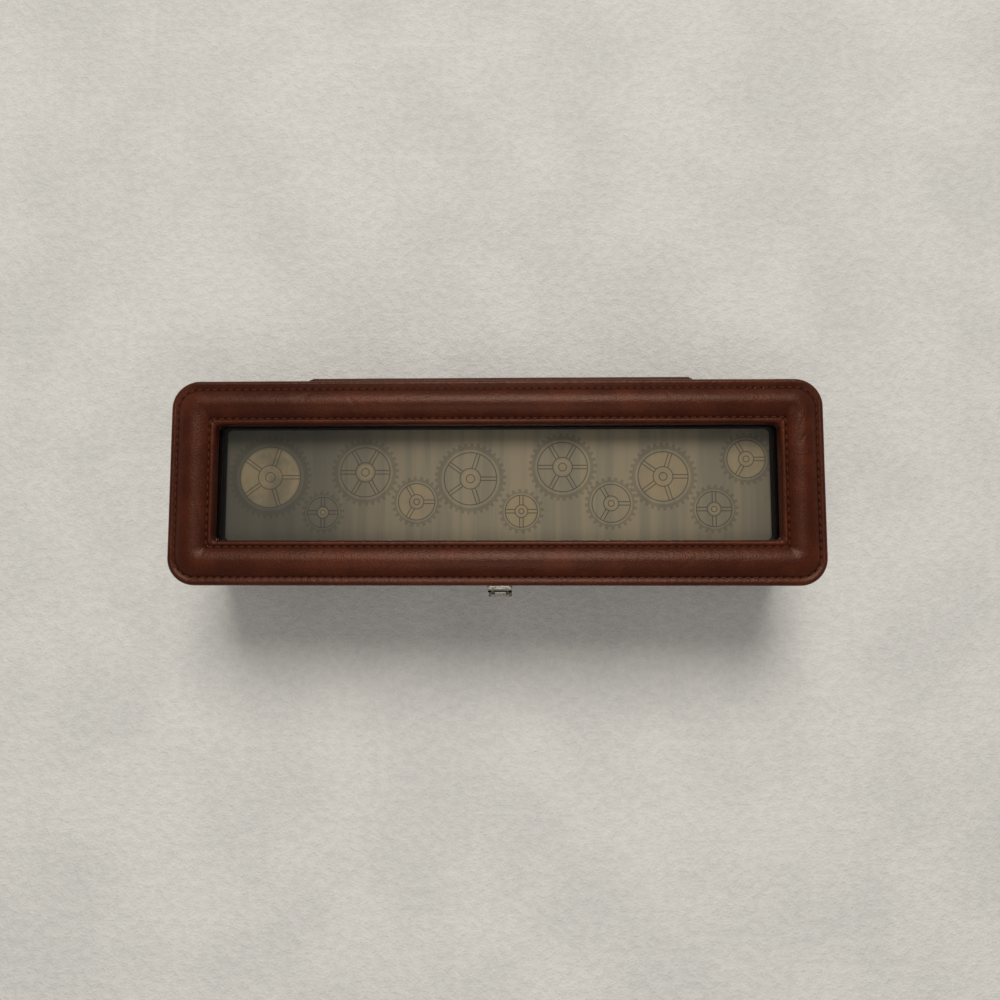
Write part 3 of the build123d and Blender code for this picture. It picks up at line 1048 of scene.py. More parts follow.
@dataclass(frozen=True)
class PaddedLid:
    """The leather over the lid: a padded dome between two seams, all round a sunk window."""

    bar: float = 21.5 * MM
    outer_seam: float = 3.5 * MM
    inner_seam: float = 18.4 * MM
    outer_radius: float = 14.0 * MM
    seam_radius: float = 1.0 * MM
    window_radius: float = 3.0 * MM
    crown: float = 3.4 * MM
    fullness: float = 0.8
    welt_rise: float = 0.8 * MM
    edge_round: float = 1.8 * MM
    hem_round: float = 0.9 * MM
    turn_in: float = 6.4 * MM
    steps: tuple[int, int] = (290, 76)
    pitch: float = 4.0 * MM
    puff: float = 0.24 * MM
    puff_waves: Pair = (26.0, 95.0)
    gather: float = 0.16 * MM
    gather_reach: float = 2.6 * MM
    gather_start: float = 0.5 * MM
    gather_waves: tuple[float, float, float] = (330.0, 60.0, 22.0)
    dimple: float = 0.16 * MM
    dimple_reach: float = 1.1 * MM
    seam_shade: float = 0.55 * MM
    mitre: float = 0.38 * MM
    mitre_width: float = 0.38 * MM
    mitre_fan: float = 0.7 * MM
    mitre_reach: float = 5 * MM
    draw_from: Pair = (60 * MM, 18 * MM)
    draw: tuple[Pair, ...] = (
        (0.0, 1.3 * MM), (0.0, 0.4 * MM), (0.6 * MM, 1.1 * MM), (1.0 * MM, 1.2 * MM),
    )
    creases: tuple[Crease, ...] = (
        Crease(151.5, 26.0, 1.25, 12),
        Crease(153.5, 22.5, 1.0, 7),
        Crease(-95.5, 44.0, 0.95, 9, 0.20),
        Crease(-99.0, 43.0, 0.75, 8, 0.16),
        Crease(-72.0, 41.5, 2.1, 8, 0.16),
        Crease(12.0, -38.0, 1.25, 8, 0.20),
        Crease(17.5, -39.0, 1.75, 9, 0.18),
        Crease(24.0, -38.0, 1.45, 6, 0.14),
        Crease(-150.5, -14.0, 1.9, 10, 0.18),
        Crease(-152.0, 19.0, 1.2, 9, 0.15),
        Crease(96.0, -41.0, 0.6, 9, 0.14),
        Crease(88.0, 43.5, 2.3, 8, 0.14),
    )

    @property
    def low(self) -> Vector:
        """The lid's lowest corner."""
        return extent("lid_cover")[0]

    @property
    def high(self) -> Vector:
        """The lid's highest corner."""
        return extent("lid_cover")[1]

    @property
    def seam_height(self) -> float:
        """The height of the bottom of both seams."""
        return self.high.z - self.crown

    @property
    def glass_height(self) -> float:
        """The height of the top of the glass."""
        return extent("window_glass")[1].z

    def track(self, corner_steps: int = 14) -> Track:
        """The outline of the lid."""
        return Track(self.high.x, self.high.y, self.steps[0], self.steps[1], corner_steps)

    def dome_share(self, inset: float) -> float:
        """How far an inset is from the outer to the inner seam, from 0 to 1."""
        return clamp((inset - self.outer_seam) / (self.inner_seam - self.outer_seam))

    def radius(self, inset: float) -> float:
        """The corner radius at an inset: parallel to the edge, then all but square at the inner seam.

        Args:
            inset: How far the outline is set in.

        Returns:
            The radius.
        """
        if inset <= self.outer_seam:
            return self.outer_radius - inset
        start = self.outer_radius - self.outer_seam
        if inset <= self.inner_seam:
            return start + self.dome_share(inset) * (self.seam_radius - start)
        share = min((inset - self.inner_seam) / (self.bar - self.inner_seam), 1.0)
        return self.seam_radius + share * (self.window_radius - self.seam_radius)

    def drawn(self, point: Vector, inset: float) -> Vector:
        """A point of the even outline, moved in as the cover is drawn unevenly over its four bars.

        Args:
            point: The point on the even outline.
            inset: Its inset.

        Returns:
            The point on the sewn cover.
        """
        found = point.copy()
        rise = clamp((inset - self.edge_round) / (self.outer_seam - self.edge_round))
        for axis, reach in enumerate(self.draw_from):
            outer, inner = self.draw[2 * axis + (point[axis] > 0)]
            share = min(abs(point[axis]) / reach, 1.0)
            pull = outer * rise + (inner - outer) * self.dome_share(inset)
            found[axis] -= math.copysign(pull * share * share * (3 - 2 * share), point[axis])
        return found

    def welt_slope(self, inner: float, outer: float, shares: Iterable[float]) -> list[Pair]:
        """The top of a welt, falling to the seam beside it.

        Args:
            inner: The inset where it starts to fall.
            outer: The inset of the seam.
            shares: How far along it each point is.

        Returns:
            Insets and heights.
        """
        top = self.seam_height + self.welt_rise
        return [(inner + share * (outer - inner), top - self.welt_rise * share**1.6) for share in shares]

    def profile(self) -> list[Pair]:
        """The section through a bar, from under its hem, over the top and down to the glass.

        Returns:
            Insets and heights.
        """
        bottom, groove, hem, edge = self.low.z, self.seam_height, self.hem_round, self.edge_round
        side = groove + self.welt_rise - edge
        crest = self.bar - edge
        slope = [step / 5 for step in range(1, 5)]
        dome = [(1 - math.cos(math.pi * step / 36)) / 2 for step in range(37)]
        found = [(self.turn_in, bottom), (self.turn_in / 2, bottom), *quarter((hem, bottom + hem), hem, 3, 4)]
        found += [(0.0, bottom + hem + (side - bottom - hem) * step / 9) for step in range(1, 9)]
        found += quarter((edge, side), edge, 2, 6)
        found += self.welt_slope(edge, self.outer_seam, slope)
        for share in dome:
            lift = self.crown * max(math.sin(math.pi * share), 0.0) ** self.fullness
            found.append((self.outer_seam + share * (self.inner_seam - self.outer_seam), groove + lift))
        found += self.welt_slope(crest, self.inner_seam, reversed(slope))
        found += quarter((crest, side), edge, 1, 6)
        drop = side - self.glass_height
        return found + [(self.bar, side - drop * step / 5) for step in range(1, 6)]

    def dome_relief(self, point: Vector, inset: float, runs: Pair) -> Pair:
        """The small folds that the seams gather in the dome, and its creases; as relief() otherwise.

        Args:
            point: The point on the even section.
            inset: Its inset.
            runs: Its places along the outer and the inner seam.

        Returns:
            How far it is lifted, and how much painted shade it gets in its creases.
        """
        lift, painted_shade = 0.0, 0.0
        fine, out, broad = self.gather_waves
        seams = ((runs[1], self.inner_seam - inset, 4.0), (runs[0], inset - self.outer_seam, 9.0))
        for run, reach, seed in seams:
            ripple = noise.noise(Vector((run * fine, reach * out, seed)))
            strength = 0.5 + 0.5 * noise.noise(Vector((run * broad, seed, 2.0)))
            pull = math.exp(-reach / self.gather_reach) * min(reach / self.gather_start, 1.0)
            lift += self.gather * pull * strength * ripple
        for crease in self.creases:
            press = crease.press(point)
            lift -= crease.depth * MM * press
            # painted shade in the bottom of the crease
            painted_shade = max(painted_shade, 0.55 * press)
        return lift, painted_shade

    def relief(self, point: Vector, inset: float, runs: Pair, pitches: Pair) -> Pair:
        """How the leather differs from its even section at one point.

        Args:
            point: The point on the even section.
            inset: Its inset.
            runs: Its places along the outer and the inner seam.
            pitches: The lengths of their stitches.

        Returns:
            How far it is lifted along its normal, and how much painted shade it gets there.
        """
        lift, painted_shade = 0.0, 0.0
        for run, pitch, seam in zip(runs, pitches, (self.outer_seam, self.inner_seam)):
            pinch = 0.5 + 0.5 * math.cos(TAU * run / pitch)
            lift -= self.dimple * bell(inset - seam, self.dimple_reach) * pinch
            # painted shade in the bottom of each seam
            painted_shade = max(painted_shade, bell(inset - seam, self.seam_shade))
        slack = 0.35 + 0.65 * math.sin(math.pi * clamp(inset / self.bar))
        if point.z < self.seam_height - 1 * MM:
            slack = 0.5
        broad, fine = self.puff_waves
        lift += self.puff * slack * noise.noise(point * broad)
        lift += 0.30 * self.puff * slack * noise.noise(point * fine + Vector((7.0, 1.0, 3.0)))
        if self.outer_seam < inset < self.inner_seam:
            gather, crease_shade = self.dome_relief(point, inset, runs)
            lift += gather
            painted_shade = max(painted_shade, crease_shade)
        across = abs((self.high.x - abs(point.x)) - (self.high.y - abs(point.y))) / math.sqrt(2)
        if inset > self.inner_seam:
            near_top = point.z > self.seam_height - 2.5 * MM
            press = bell(across, self.mitre_width) * (1 if near_top else 0.3)
            lift -= self.mitre * press
            # painted shade in the mitre crease at the window's corner
            painted_shade = max(painted_shade, 0.8 * press)
        elif inset > self.inner_seam - self.mitre_reach:
            reach = (self.inner_seam - inset) / self.mitre_reach
            lift -= 0.5 * self.mitre * bell(across, self.mitre_fan) * (1 - reach) ** 2
        return lift, painted_shade

    def leather(self) -> bpy.types.Object:
        """The cover as one skin, with the pull of its seams in its shape.

        Returns:
            The piece.
        """
        track, profile = self.track(), self.profile()
        rings = [track.points(inset, self.radius(inset)) for inset, _ in profile]
        seam_runs, pitches = [], []
        for inset in (self.outer_seam, self.inner_seam):
            ring = [point for point, _ in track.points(inset, self.radius(inset))]
            lengths = running([*ring, ring[0]])
            pitches.append(lengths[-1] / round(lengths[-1] / self.pitch))
            seam_runs.append(lengths)
        columns, rows = len(rings[0]), len(profile) - 1
        normals = []
        for row in range(rows + 1):
            before, after = profile[max(row - 1, 0)], profile[min(row + 1, rows)]
            slope = Vector((before[0] - after[0], after[1] - before[1])).normalized()
            normals.append((slope.y, -slope.x))
        found: dict[tuple[int, int], tuple[Vector, float]] = {}
        for row, (inset, height) in enumerate(profile):
            for column, (level, out) in enumerate(rings[row]):
                point = Vector((level.x, level.y, height))
                runs = (seam_runs[0][column], seam_runs[1][column])
                lift, painted_shade = self.relief(point, inset, runs, tuple(pitches))
                if row in (0, 1, rows) or height <= self.glass_height:
                    lift = 0.0
                normal = out * normals[row][0] + Vector((0.0, 0.0, normals[row][1]))
                found[column, row] = (self.drawn(point + normal * lift, inset), painted_shade)
        bm = grid_mesh(
            columns, rows, lambda column, row: found[column % columns, row][0],
            lambda column, row: found[column % columns, row][1],
        )
        piece = add_piece("lid_leather", bm, LEATHER, Slot.LEATHER, Body.LID, "lid_cover", crease=75.0)
        return piece

    def seam_lines(self) -> list[list[Vector]]:
        """The lines of both seams: the outer one goes round, the inner one is four sides.

        Returns:
            The lines, level and in order.
        """
        track = self.track(corner_steps=10)
        ring = [point for point, _ in track.points(self.outer_seam, self.radius(self.outer_seam))]
        square = corners(self.high.x - self.inner_seam, self.high.y - self.inner_seam)
        ends = [self.drawn(Vector((*corner, 0.0)), self.inner_seam) for corner in square]
        outer = [self.drawn(point, self.outer_seam) for point in [*ring, ring[0]]]
        return [outer, *([first, second] for first, second in zip(ends, [*ends[1:], ends[0]]))]


def along_line(line: Sequence[Vector], distances: Iterable[float]) -> list[tuple[Vector, Vector]]:
    """The points at some distances along a line, and the way that the line runs there.

    Args:
        line: The points of the line.
        distances: Rising distances along it.

    Returns:
        The points, and the level way of the line at each.
    """
    runs = running(line)
    found, piece = [], 0
    for distance in distances:
        while piece < len(line) - 2 and runs[piece + 1] < distance:
            piece += 1
        way = (line[piece + 1] - line[piece]).normalized()
        found.append((line[piece] + way * (distance - runs[piece]), way))
    return found


@dataclass(frozen=True)
class Stitching:
    """Sewn stitches laid along lines on the lid, with a needle hole at each end of each."""

    lid: PaddedLid
    length: float = 2.75 * MM
    width: float = 0.78 * MM
    height: float = 0.62 * MM
    slant: float = 0.06
    rise: float = 0.12 * MM
    hole: Pair = (0.80 * MM, 0.40 * MM)
    hole_depth: float = 0.16 * MM
    hole_drop: float = 0.06 * MM
    seed: int = 11

    def places(self, shift: float) -> list[tuple[Vector, float]]:
        """One point to a stitch along every seam, and the seam's heading there.

        Args:
            shift: How far along its stitch each point is, as a share.

        Returns:
            The points and the angles.
        """
        found = []
        for line in self.lid.seam_lines():
            length = running(line)[-1]
            count = round(length / self.lid.pitch)
            spots = along_line(line, [(step + shift) * length / count for step in range(count)])
            found += [(point, math.atan2(way.y, way.x)) for point, way in spots]
        return found

    def laid(self, point: Vector, lift: float, heading: float, size: tuple[float, ...]) -> Matrix:
        """The turn, size and place of one stitch or hole in the bottom of a seam."""
        spot = Matrix.Translation((point.x, point.y, self.lid.seam_height + lift))
        return spot @ Matrix.Rotation(heading, 4, "Z") @ Matrix.Diagonal((*size, 1.0))

    def thread(self) -> bpy.types.Object:
        """All the stitches, as one piece.

        Returns:
            The piece.
        """
        rng = random.Random(self.seed)
        matrices = []
        for point, heading in self.places(0.5):
            turned = heading + self.slant + rng.uniform(-0.03, 0.03)
            size = (self.length * rng.uniform(0.93, 1.04) / 2, self.width / 2, self.height / 2)
            matrices.append(self.laid(point, self.rise, turned, size))
        bm = scattered(small_ball(8, 7), matrices)
        return add_piece("lid_thread", bm, THREAD, Slot.LEATHER, Body.LID, crease=80.0)

    def holes(self) -> bpy.types.Object:
        """The needle holes, as small near-black cups in the bottom of the seams, which paint the shade inside
        each hole.

        Returns:
            The piece.
        """
        rng = random.Random(self.seed + 1)
        matrices = []
        for point, heading in self.places(0.0):
            size = (self.hole[0] * rng.uniform(0.75, 1.2), self.hole[1], self.hole_depth)
            matrices.append(self.laid(point, -self.hole_drop, heading, size))
        bm = scattered(small_ball(8, 5), matrices)
        return add_piece("lid_needle_hole_shades", bm, HOLE_SHADE, Slot.LEATHER, Body.LID)


@dataclass(frozen=True)
class BodyLeather:
    """The leather round the walls: over the rim, down the outside and folded in under the base."""

    corner: float = 14.0 * MM
    rim: float = 5.45 * MM
    turn_in: float = 6.5 * MM
    edge: float = 0.8 * MM
    wave: float = 0.10 * MM
    waves: float = 30.0

    def profile(self, low: float, high: float) -> list[Pair]:
        """Insets and heights, from the fold under the base, up the wall, to the inside of the rim.

        Args:
            low: The height of the underside.
            high: The height of the rim.

        Returns:
            Insets and heights.
        """
        edge, rise = self.edge, high - low - 2 * self.edge
        found = [(self.turn_in, low), (self.turn_in / 2, low), *quarter((edge, low + edge), edge, 3, 4)]
        found += [(0.0, low + edge + rise * step / 18) for step in range(1, 18)]
        found += quarter((edge, high - edge), edge, 2, 4)
        return [*found, (self.rim / 2, high), (self.rim, high)]

    def build(self) -> bpy.types.Object:
        """The wrap as one skin, a little wavy on its upright faces.

        Returns:
            The piece.
        """
        low, high = extent("body_wrap")
        track = Track(high.x, high.y, long_steps=150, short_steps=48, corner_steps=12)
        profile = self.profile(low.z, high.z)
        rings = [track.points(inset, self.corner - inset) for inset, _ in profile]
        columns = len(rings[0])

        def place(column: int, row: int) -> Vector:
            """The point of the skin at a column and a row.

            Args:
                column: The step round the box.
                row: The step of the section.

            Returns:
                The point.
            """
            level, out = rings[row][column % columns]
            inset, height = profile[row]
            point = Vector((level.x, level.y, height))
            sunk = self.wave * (noise.noise(point * self.waves) - 1.0)
            return point + out * sunk if inset < WELD else point

        bm = grid_mesh(columns, len(profile) - 1, place)
        return add_piece("body_leather", bm, LEATHER, Slot.LEATHER, Body.BODY, "body_wrap", crease=75.0)


@dataclass(frozen=True)
class HingeStrip:
    """The leather strip over the hinges, built here as one rigid piece on no body."""

    edge: float = 0.45 * MM
    cut: float = 4.0 * MM
    wave: float = 0.13 * MM
    waves: float = 45.0
    wave_from: float = 1.5 * MM
    bend: float = 3.2 * MM
    # how much painted shade the whole strip gets, which darkens and roughens it all over
    wear_and_shade: float = 0.75

    def build(self) -> bpy.types.Object:
        """The strip, softened, a little wavy along its length, and left on no body.

        Returns:
            The piece.
        """
        low, high = extent("hinge_strip")
        bm = softened_mesh("hinge_strip", self.edge)
        for step in range(1, int((high.x - low.x) / self.cut)):
            slice_at(bm, low.x + step * self.cut)
        wall = extent("body_wrap")[1].y
        # painted shade over the whole strip
        layer = bm.verts.layers.float.new("painted_shade")
        for vertex in bm.verts:
            vertex[layer] = self.wear_and_shade
            out = min((vertex.co.y - wall) / self.wave_from, 1.0)
            if out > 0:
                vertex.co.y += self.wave * out * (noise.noise(vertex.co * self.waves) - 0.6)
        bm.normal_update()
        piece = add_piece("hinge_strip_leather", bm, LEATHER, Slot.LEATHER, None, "hinge_strip", 50.0)
        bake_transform(piece)
        return piece


@dataclass(frozen=True)
class Screw:
    """A small slotted screw, of which only the head shows."""

    radius: float = 1.05 * MM
    height: float = 0.45 * MM
    slot: float = 0.30 * MM
    depth: float = 0.22 * MM
    rim: float = 0.45

    def add(self, bm: bmesh.types.BMesh, place: Vector, turn: float) -> None:
        """Adds a head that faces -Y.

        Args:
            bm: The mesh to add to.
            place: The middle of the underside of the head.
            turn: The angle of its slot.
        """
        head = bmesh.new()
        points = [Vector((self.radius, 0.0, 0.0))]
        for step in range(8):
            angle = math.pi / 2 * step / 7
            up = self.height * (self.rim + (1 - self.rim) * math.sin(angle))
            points.append(Vector((self.radius * math.cos(angle), 0.0, up)))
        verts = [head.verts.new(point) for point in points]
        edges = [head.edges.new(pair) for pair in zip(verts, verts[1:])]
        bmesh.ops.spin(
            head, geom=[*verts, *edges], cent=(0, 0, 0), axis=(0, 0, 1), angle=TAU, steps=28, use_merge=True,
        )
        bmesh.ops.remove_doubles(head, verts=head.verts, dist=WELD)
        bmesh.ops.recalc_face_normals(head, faces=head.faces)
        for side in (-1, 1):
            for share in (0.5, 0.35):
                slice_at(head, side * self.slot * share)
        for vertex in head.verts:
            if abs(vertex.co.x) < self.slot * 0.4 and vertex.co.z > self.height * 0.4:
                vertex.co.z -= self.depth
        turned = Matrix.Rotation(math.pi / 2, 4, "X") @ Matrix.Rotation(turn, 4, "Z")
        bmesh.ops.transform(head, matrix=Matrix.Translation(place) @ turned, verts=head.verts)
        pour(bm, head)


@dataclass(frozen=True)
class Latch:
    """The flip latch at the front, with its screws."""

    edge: float = 0.16 * MM
    screw: Screw = Screw()
    sheet: float = 0.8 * MM
    spread: float = 6.6 * MM
    plate_rise: float = 4.9 * MM
    strike_rise: float = 2.6 * MM
    # The thin near-black bead that paints the shadow under the flap's knuckle: its width, and how far out and
    # down it sits from the pin.
    shadow_width: float = 0.72 * MM
    shadow_out: float = 1.75 * MM
    shadow_drop: float = 1.6 * MM
    seed: int = 5

    def screws(self, name: str, plate: str, height: float, body: Body) -> bpy.types.Object:
        """The two screws of one plate.

        Args:
            name: The name of the piece.
            plate: The node of the plate.
            height: Their height.
            body: The body that they ride on.

        Returns:
            The piece.
        """
        rng = random.Random(self.seed + len(name))
        low, high = extent(plate)
        face = extent("body_wrap")[0].y - self.sheet
        bm = bmesh.new()
        for side in (-1, 1):
            x = (low.x + high.x + side * self.spread) / 2
            self.screw.add(bm, Vector((x, face, height)), rng.uniform(0.0, math.pi))
        return add_piece(name, bm, NICKEL, Slot.NICKEL, body, crease=35.0)

    def shadow_line(self, axis: Vector) -> bpy.types.Object:
        """Painted shadow: a thin near-black bead under the knuckle of the flap, thicker at both ends, where
        the gap there is in shade.

        Args:
            axis: The middle of the pin.

        Returns:
            The piece.
        """
        half = middle_and_half("latch_flap")[1].x - self.shadow_width
        middle = axis + Vector((0.0, -self.shadow_out, -self.shadow_drop))
        line = Matrix.Translation(middle) @ Matrix.Diagonal((half, 0.5 * self.shadow_width, 0.5 * self.shadow_width, 1.0))
        spots = [middle + Vector((side * half, 0.0, 0.0)) for side in (-1, 1)]
        size = Matrix.Diagonal((1.3 * self.shadow_width, self.shadow_width, self.shadow_width, 1.0))
        bm = scattered(small_ball(16, 12), [line, *(Matrix.Translation(spot) @ size for spot in spots)])
        return add_piece("latch_painted_shadow", bm, HOLE_SHADE, Slot.NICKEL, Body.LATCH)

    def build(self) -> None:
        """The plate, the flap, the pin, the strike, the four screws and the bead of painted shadow."""
        softened("latch_plate", self.edge, NICKEL, Slot.NICKEL, Body.LID)
        softened("latch_pin", self.edge * 0.6, NICKEL, Slot.NICKEL, Body.LID, 2)
        softened("latch_flap", self.edge, NICKEL, Slot.NICKEL, Body.LATCH)
        softened("strike_plate", self.edge, NICKEL, Slot.NICKEL, Body.BODY)
        axis = joint_place("latch_swing")
        self.screws("latch_plate_screws", "latch_plate", axis.z + self.plate_rise, Body.LID)
        low = extent("strike_plate")[0]
        self.screws("strike_plate_screws", "strike_plate", low.z + self.strike_rise, Body.BODY)
        # the painted shadow under the knuckle
        self.shadow_line(axis)


@dataclass(frozen=True)
class Cushion:
    """One stuffed velvet cushion, copied into every compartment."""

    count: int = 6
    shrink: float = 0.955
    voxel: float = 4.0 * MM
    pressure: float = 4.0
    frames: int = 20
    cap: float = 3.0 * MM
    end_draw: float = 0.10
    pucker: float = 0.45 * MM
    puckers: int = 26
    pucker_reach: float = 4 * MM
    pucker_waves: float = 40.0
    unevenness: float = 0.35 * MM
    uneven_waves: float = 55.0
    margin: float = 0.1 * MM
    piping: float = 0.75 * MM
    piping_place: float = 0.84
    piping_steps: int = 72
    piping_sides: int = 8

    def shape(self) -> bpy.types.Object:
        """The first cushion, a little smaller than its solid and evenly meshed.

        Returns:
            The piece, ready for the simulation.
        """
        middle = middle_and_half("cushion_1")[0]
        bm = bmesh.new()
        bm.from_mesh(frame["nodes"]["cushion_1"].data)
        bmesh.ops.remove_doubles(bm, verts=bm.verts, dist=WELD)
        for vertex in bm.verts:
            vertex.co = middle + (vertex.co - middle) * self.shrink
        piece = in_scene("cushion_shape", to_mesh("cushion_shape", bm))
        remesh = piece.modifiers.new("even", "REMESH")
        remesh.mode = "VOXEL"
        remesh.voxel_size = self.voxel
        self.bake(piece)
        return piece

    def bake(self, piece: bpy.types.Object) -> None:
        """Takes the result of a piece's modifiers into its mesh.

        Args:
            piece: The piece, whose modifiers are used up.
        """
        view = bpy.context.evaluated_depsgraph_get()
        mesh = bpy.data.meshes.new_from_object(piece.evaluated_get(view))
        old = piece.data
        piece.modifiers.clear()
        piece.data = mesh
        bpy.data.meshes.remove(old)

    def stuffed(self, piece: bpy.types.Object) -> None:
        """Blows the cover up by simulation, within the cap.

        Args:
            piece: The piece from shape().
        """
        start = [vertex.co.copy() for vertex in piece.data.vertices]
        cloth = piece.modifiers.new("stuffing", "CLOTH")
        settings = cloth.settings
        settings.quality = 5
        settings.mass = 0.3
        settings.use_pressure = True
        settings.uniform_pressure_force = self.pressure
        settings.effector_weights.gravity = 0.0
        settings.tension_stiffness = settings.compression_stiffness = 25
        settings.bending_stiffness = 1.2
        for step in range(1, self.frames + 1):
            bpy.context.scene.frame_set(step)
        self.bake(piece)
        bpy.context.scene.frame_set(1)
        for vertex, before in zip(piece.data.vertices, start):
            move = vertex.co - before
            if move.length > self.cap:
                vertex.co = before + move.normalized() * self.cap

    def dressed(self, piece: bpy.types.Object) -> bmesh.types.BMesh:
        """The stuffed cushion in full: drawn in at its two seams, and kept inside its solid.

        Args:
            piece: The cushion, which is removed.

        Returns:
            The finished cover.
        """
        low, high = extent("cushion_1")
        middle, half = middle_and_half("cushion_1")
        smooth = piece.modifiers.new("smooth", "SUBSURF")
        smooth.levels = smooth.render_levels = 1
        self.bake(piece)
        bm = bmesh.new()
        bm.from_mesh(piece.data)
        bpy.data.objects.remove(piece)
        every_way = {f"use_axis_{axis}": True for axis in "xyz"}
        bmesh.ops.smooth_vert(bm, verts=bm.verts, factor=0.5, **every_way)
        for vertex in bm.verts:
            out = vertex.co - middle
            level = Vector((0.0, out.y, out.z))
            end = min(abs(out.x) / half.x, 1.0)
            vertex.co -= level * self.end_draw * end**3
            if level.length > 0.5 * half.z:
                reach = abs(end - self.piping_place) * half.x
                wander = 2.5 * noise.noise(out * self.pucker_waves)
                turn = math.atan2(out.z, out.y) * self.puckers + wander
                depth = self.pucker * math.exp(-reach / self.pucker_reach)
                vertex.co += level.normalized() * depth * math.sin(turn)
            lump = self.unevenness * noise.noise(vertex.co * self.uneven_waves)
            vertex.co += out.normalized() * lump
            for axis in range(3):
                bounds = low[axis] + self.margin, high[axis] - self.margin
                vertex.co[axis] = clamp(vertex.co[axis], *bounds)
        bmesh.ops.recalc_face_normals(bm, faces=bm.faces)
        return bm

    def cords(self, cover: bmesh.types.BMesh) -> bmesh.types.BMesh:
        """The piped seams round both ends of the first cushion.

        Args:
            cover: The finished cover.

        Returns:
            Two closed rings of piping, laid on the cover.
        """
        middle, half = middle_and_half("cushion_1")
        tree = BVHTree.FromBMesh(cover)
        whole = bmesh.new()
        for side in (-1, 1):
            centre = middle + Vector((side * self.piping_place * half.x, 0.0, 0.0))
            ring = []
            for step in range(self.piping_steps):
                angle = TAU * step / self.piping_steps
                out = Vector((0.0, math.cos(angle), math.sin(angle)))
                hit = tree.ray_cast(centre + out * 0.2, -out)[0]
                ring.append((hit - out * 0.25 * self.piping, out))

            def place(column: int, row: int) -> Vector:
                """The point of the piping at a column along it and a row round it.

                Args:
                    column: The step along the piping.
                    row: The step round it.

                Returns:
                    The point.
                """
                spot, out = ring[column % self.piping_steps]
                turn = TAU * row / self.piping_sides
                return spot + (out * math.cos(turn) + Vector((math.sin(turn), 0.0, 0.0))) * self.piping

            pour(whole, grid_mesh(self.piping_steps, self.piping_sides, place))
        low, high = extent("cushion_1")
        for vertex in whole.verts:
            vertex.co.z = clamp(vertex.co.z, low.z + self.margin, high.z)
        return whole

    def build(self) -> None:
        """A cushion in each compartment, all from one simulation."""
        piece = self.shape()
        self.stuffed(piece)
        first = self.dressed(piece)
        trim = self.cords(first)
        origin = extent("cushion_1")[0]
        for number in range(1, self.count + 1):
            name = f"cushion_{number}"
            shift = extent(name)[0] - origin
            cover, cord = first.copy(), trim.copy()
            for part in (cover, cord):
                bmesh.ops.translate(part, verts=part.verts, vec=shift)
            made = add_piece(f"{name}_cover", cover, CUSHION, Slot.CUSHION, Body.BODY, name, SMOOTH)
            add_piece(f"{name}_piping", cord, CUSHION, Slot.CUSHION, Body.BODY, crease=SMOOTH)
        first.free()
        trim.free()


@dataclass(frozen=True)
class Interior:
    """The velvet inside the body and the lid, and what is hidden under it."""

    dividers: int = 5
    edge: float = 0.35 * MM

    def build(self) -> None:
        """Softens the velvet-covered boards and dresses the rest."""
        softened("wall_lining", self.edge, LINING, Slot.LINING, Body.BODY)
        softened("lid_lining", self.edge * 2, LINING, Slot.LINING, Body.LID)
        dress(LINING, "floor_lining", *(f"divider_{number}" for number in range(1, self.dividers + 1)))
        dress(FELT, "base_felt")
        dress(FIBREBOARD, "base_board", "body_wall", "lid_frame")
        dress(FOAM, "lid_padding")


@dataclass(frozen=True)
class Window:
    """The pane, the printed card under it and the velvet ring between them."""

    lid: PaddedLid
    edge: float = 0.35 * MM
    # How far the ring stands into the window on each side: a dark band that is partly the velvet and partly
    # painted shadow, where the walls shade the card's edge.
    velvet_and_shadow_band: tuple[Pair, Pair] = ((2.6 * MM, 1.5 * MM), (1.3 * MM, 1.8 * MM))

    def ring(self) -> bpy.types.Object:
        """The velvet ring, pushed a little into the window on each side, as a dark band that is partly velvet
        and partly painted shadow on the card's edge.

        Returns:
            The piece.
        """
        inner = (self.lid.high.x - self.lid.bar, self.lid.high.y - self.lid.bar)
        name = "window_retainer"
        bm = softened_mesh(name, self.edge)
        for vertex in bm.verts:
            # widens the dark band into the window, partly velvet and partly painted shadow
            if all(abs(vertex.co[axis]) < inner[axis] + 1.5 * self.edge for axis in (0, 1)):
                for axis in (0, 1):
                    velvet_and_shadow_band = self.velvet_and_shadow_band[axis][vertex.co[axis] > 0]
                    vertex.co[axis] *= 1 - velvet_and_shadow_band / inner[axis]
        return add_piece(f"{name}_soft", bm, RING_AND_SHADE, Slot.LINING, Body.LID, name, 30.0)

    def build(self) -> None:
        """Dresses the pane and the card, and builds the ring."""
        dress(Glass("window_pane"), "window_glass")
        dress(PrintedCard("printed_card"), "insert_card")
        self.ring()


@dataclass(frozen=True)
class Hinges:
    """The two butt hinges under the strip."""

    edge: float = 0.12 * MM

    def build(self) -> None:
        """Softens the leaves and dresses the pins."""
        for side in ("left", "right"):
            for body in (Body.BODY, Body.LID):
                softened(f"hinge_{side}_{body.value}_leaf", self.edge, STEEL, Slot.STEEL, body, 2)
            dress(STEEL, f"hinge_{side}_pin")


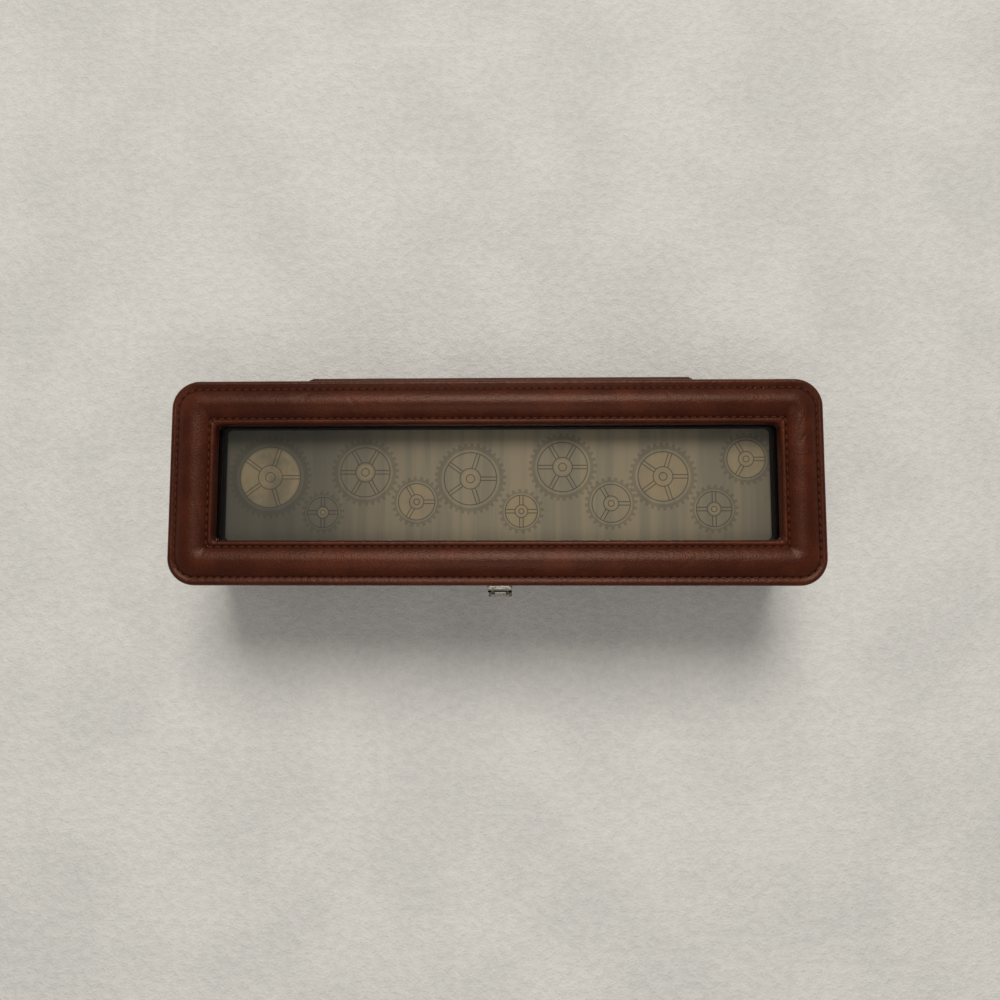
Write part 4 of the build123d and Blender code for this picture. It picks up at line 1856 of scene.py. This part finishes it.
@dataclass(frozen=True)
class Studio:
    """The floor, the light and the camera, as in the photograph."""

    camera_place: Colour = (0.01041, -0.03942, 0.4520)
    camera_right: Colour = (0.99979, -0.00091, -0.0205)
    camera_up: Colour = (0.00075, 0.99678, 0.08009)
    camera_ahead: Colour = (-0.020508, 0.080128, -0.996575)
    lens: float = 27.04
    floor: float = 6.0
    lamp_colour: Colour = (1.0, 0.97, 0.92)
    lamp_place: Colour = (0.05, 2.25, 3.125)
    lamp_size: float = 2.0
    lamp_power: float = 88.0
    fill_place: Colour = (-0.03, -0.24, 0.70)
    fill_size: float = 0.34
    fill_power: float = 0.58
    room: Colour = (1.0, 0.985, 0.96)
    room_strength: float = 0.25

    def camera(self) -> None:
        """The camera, from the solved view."""
        data = bpy.data.cameras.new("camera")
        data.sensor_width = 36.0
        data.lens = self.lens
        data.clip_start = 0.01
        camera = in_scene("camera", data)
        turn = Matrix((self.camera_right, self.camera_up, [-part for part in self.camera_ahead])).transposed()
        camera.matrix_world = Matrix.Translation(self.camera_place) @ turn.to_4x4()
        bpy.context.scene.camera = camera

    def lamp(self, name: str, place: Colour, size: float, power: float) -> None:
        """A soft round lamp that faces the box.

        Args:
            name: The lamp's name.
            place: Where it hangs.
            size: Its diameter.
            power: Its power in watts.
        """
        data = bpy.data.lights.new(name, "AREA")
        data.shape = "DISK"
        data.size = size
        data.energy = power
        data.color = self.lamp_colour
        lamp = in_scene(name, data)
        lamp.location = place
        lamp.rotation_euler = (-Vector(place)).to_track_quat("-Z", "Y").to_euler()

    def light(self) -> None:
        """A soft lamp high up behind the box, a weak one above its front, and an even room."""
        self.lamp("rear_lamp", self.lamp_place, self.lamp_size, self.lamp_power)
        self.lamp("fill_lamp", self.fill_place, self.fill_size, self.fill_power)
        world = bpy.data.worlds.new("room")
        paint = Paint(world)
        inputs = {"Color": self.room, "Strength": self.room_strength}
        background = paint.node("ShaderNodeBackground", None, inputs)
        paint.node("ShaderNodeOutputWorld", None, {"Surface": background.outputs[0]})
        bpy.context.scene.world = world

    def ground(self) -> None:
        """The pale floor."""
        bm = bmesh.new()
        bmesh.ops.create_grid(bm, x_segments=1, y_segments=1, size=self.floor / 2)
        mesh = to_mesh("floor", bm)
        mesh.materials.append(Carpet("pale_carpet").material())
        in_scene("floor", mesh)

    def build(self) -> None:
        """Sets all three up."""
        bpy.context.scene.view_settings.view_transform = "Standard"
        self.camera()
        self.light()
        self.ground()


def main() -> None:
    """Builds the box from the outside in, then the studio."""
    logging.basicConfig(level=logging.INFO, format="%(name)s: %(message)s")
    lid = PaddedLid()
    lid.leather()
    stitching = Stitching(lid)
    stitching.thread()
    stitching.holes()
    BodyLeather().build()
    HingeStrip().build()
    Hinges().build()
    Latch().build()
    Window(lid).build()
    Interior().build()
    Cushion().build()
    Studio().build()


if __name__ == "__main__":
    main()
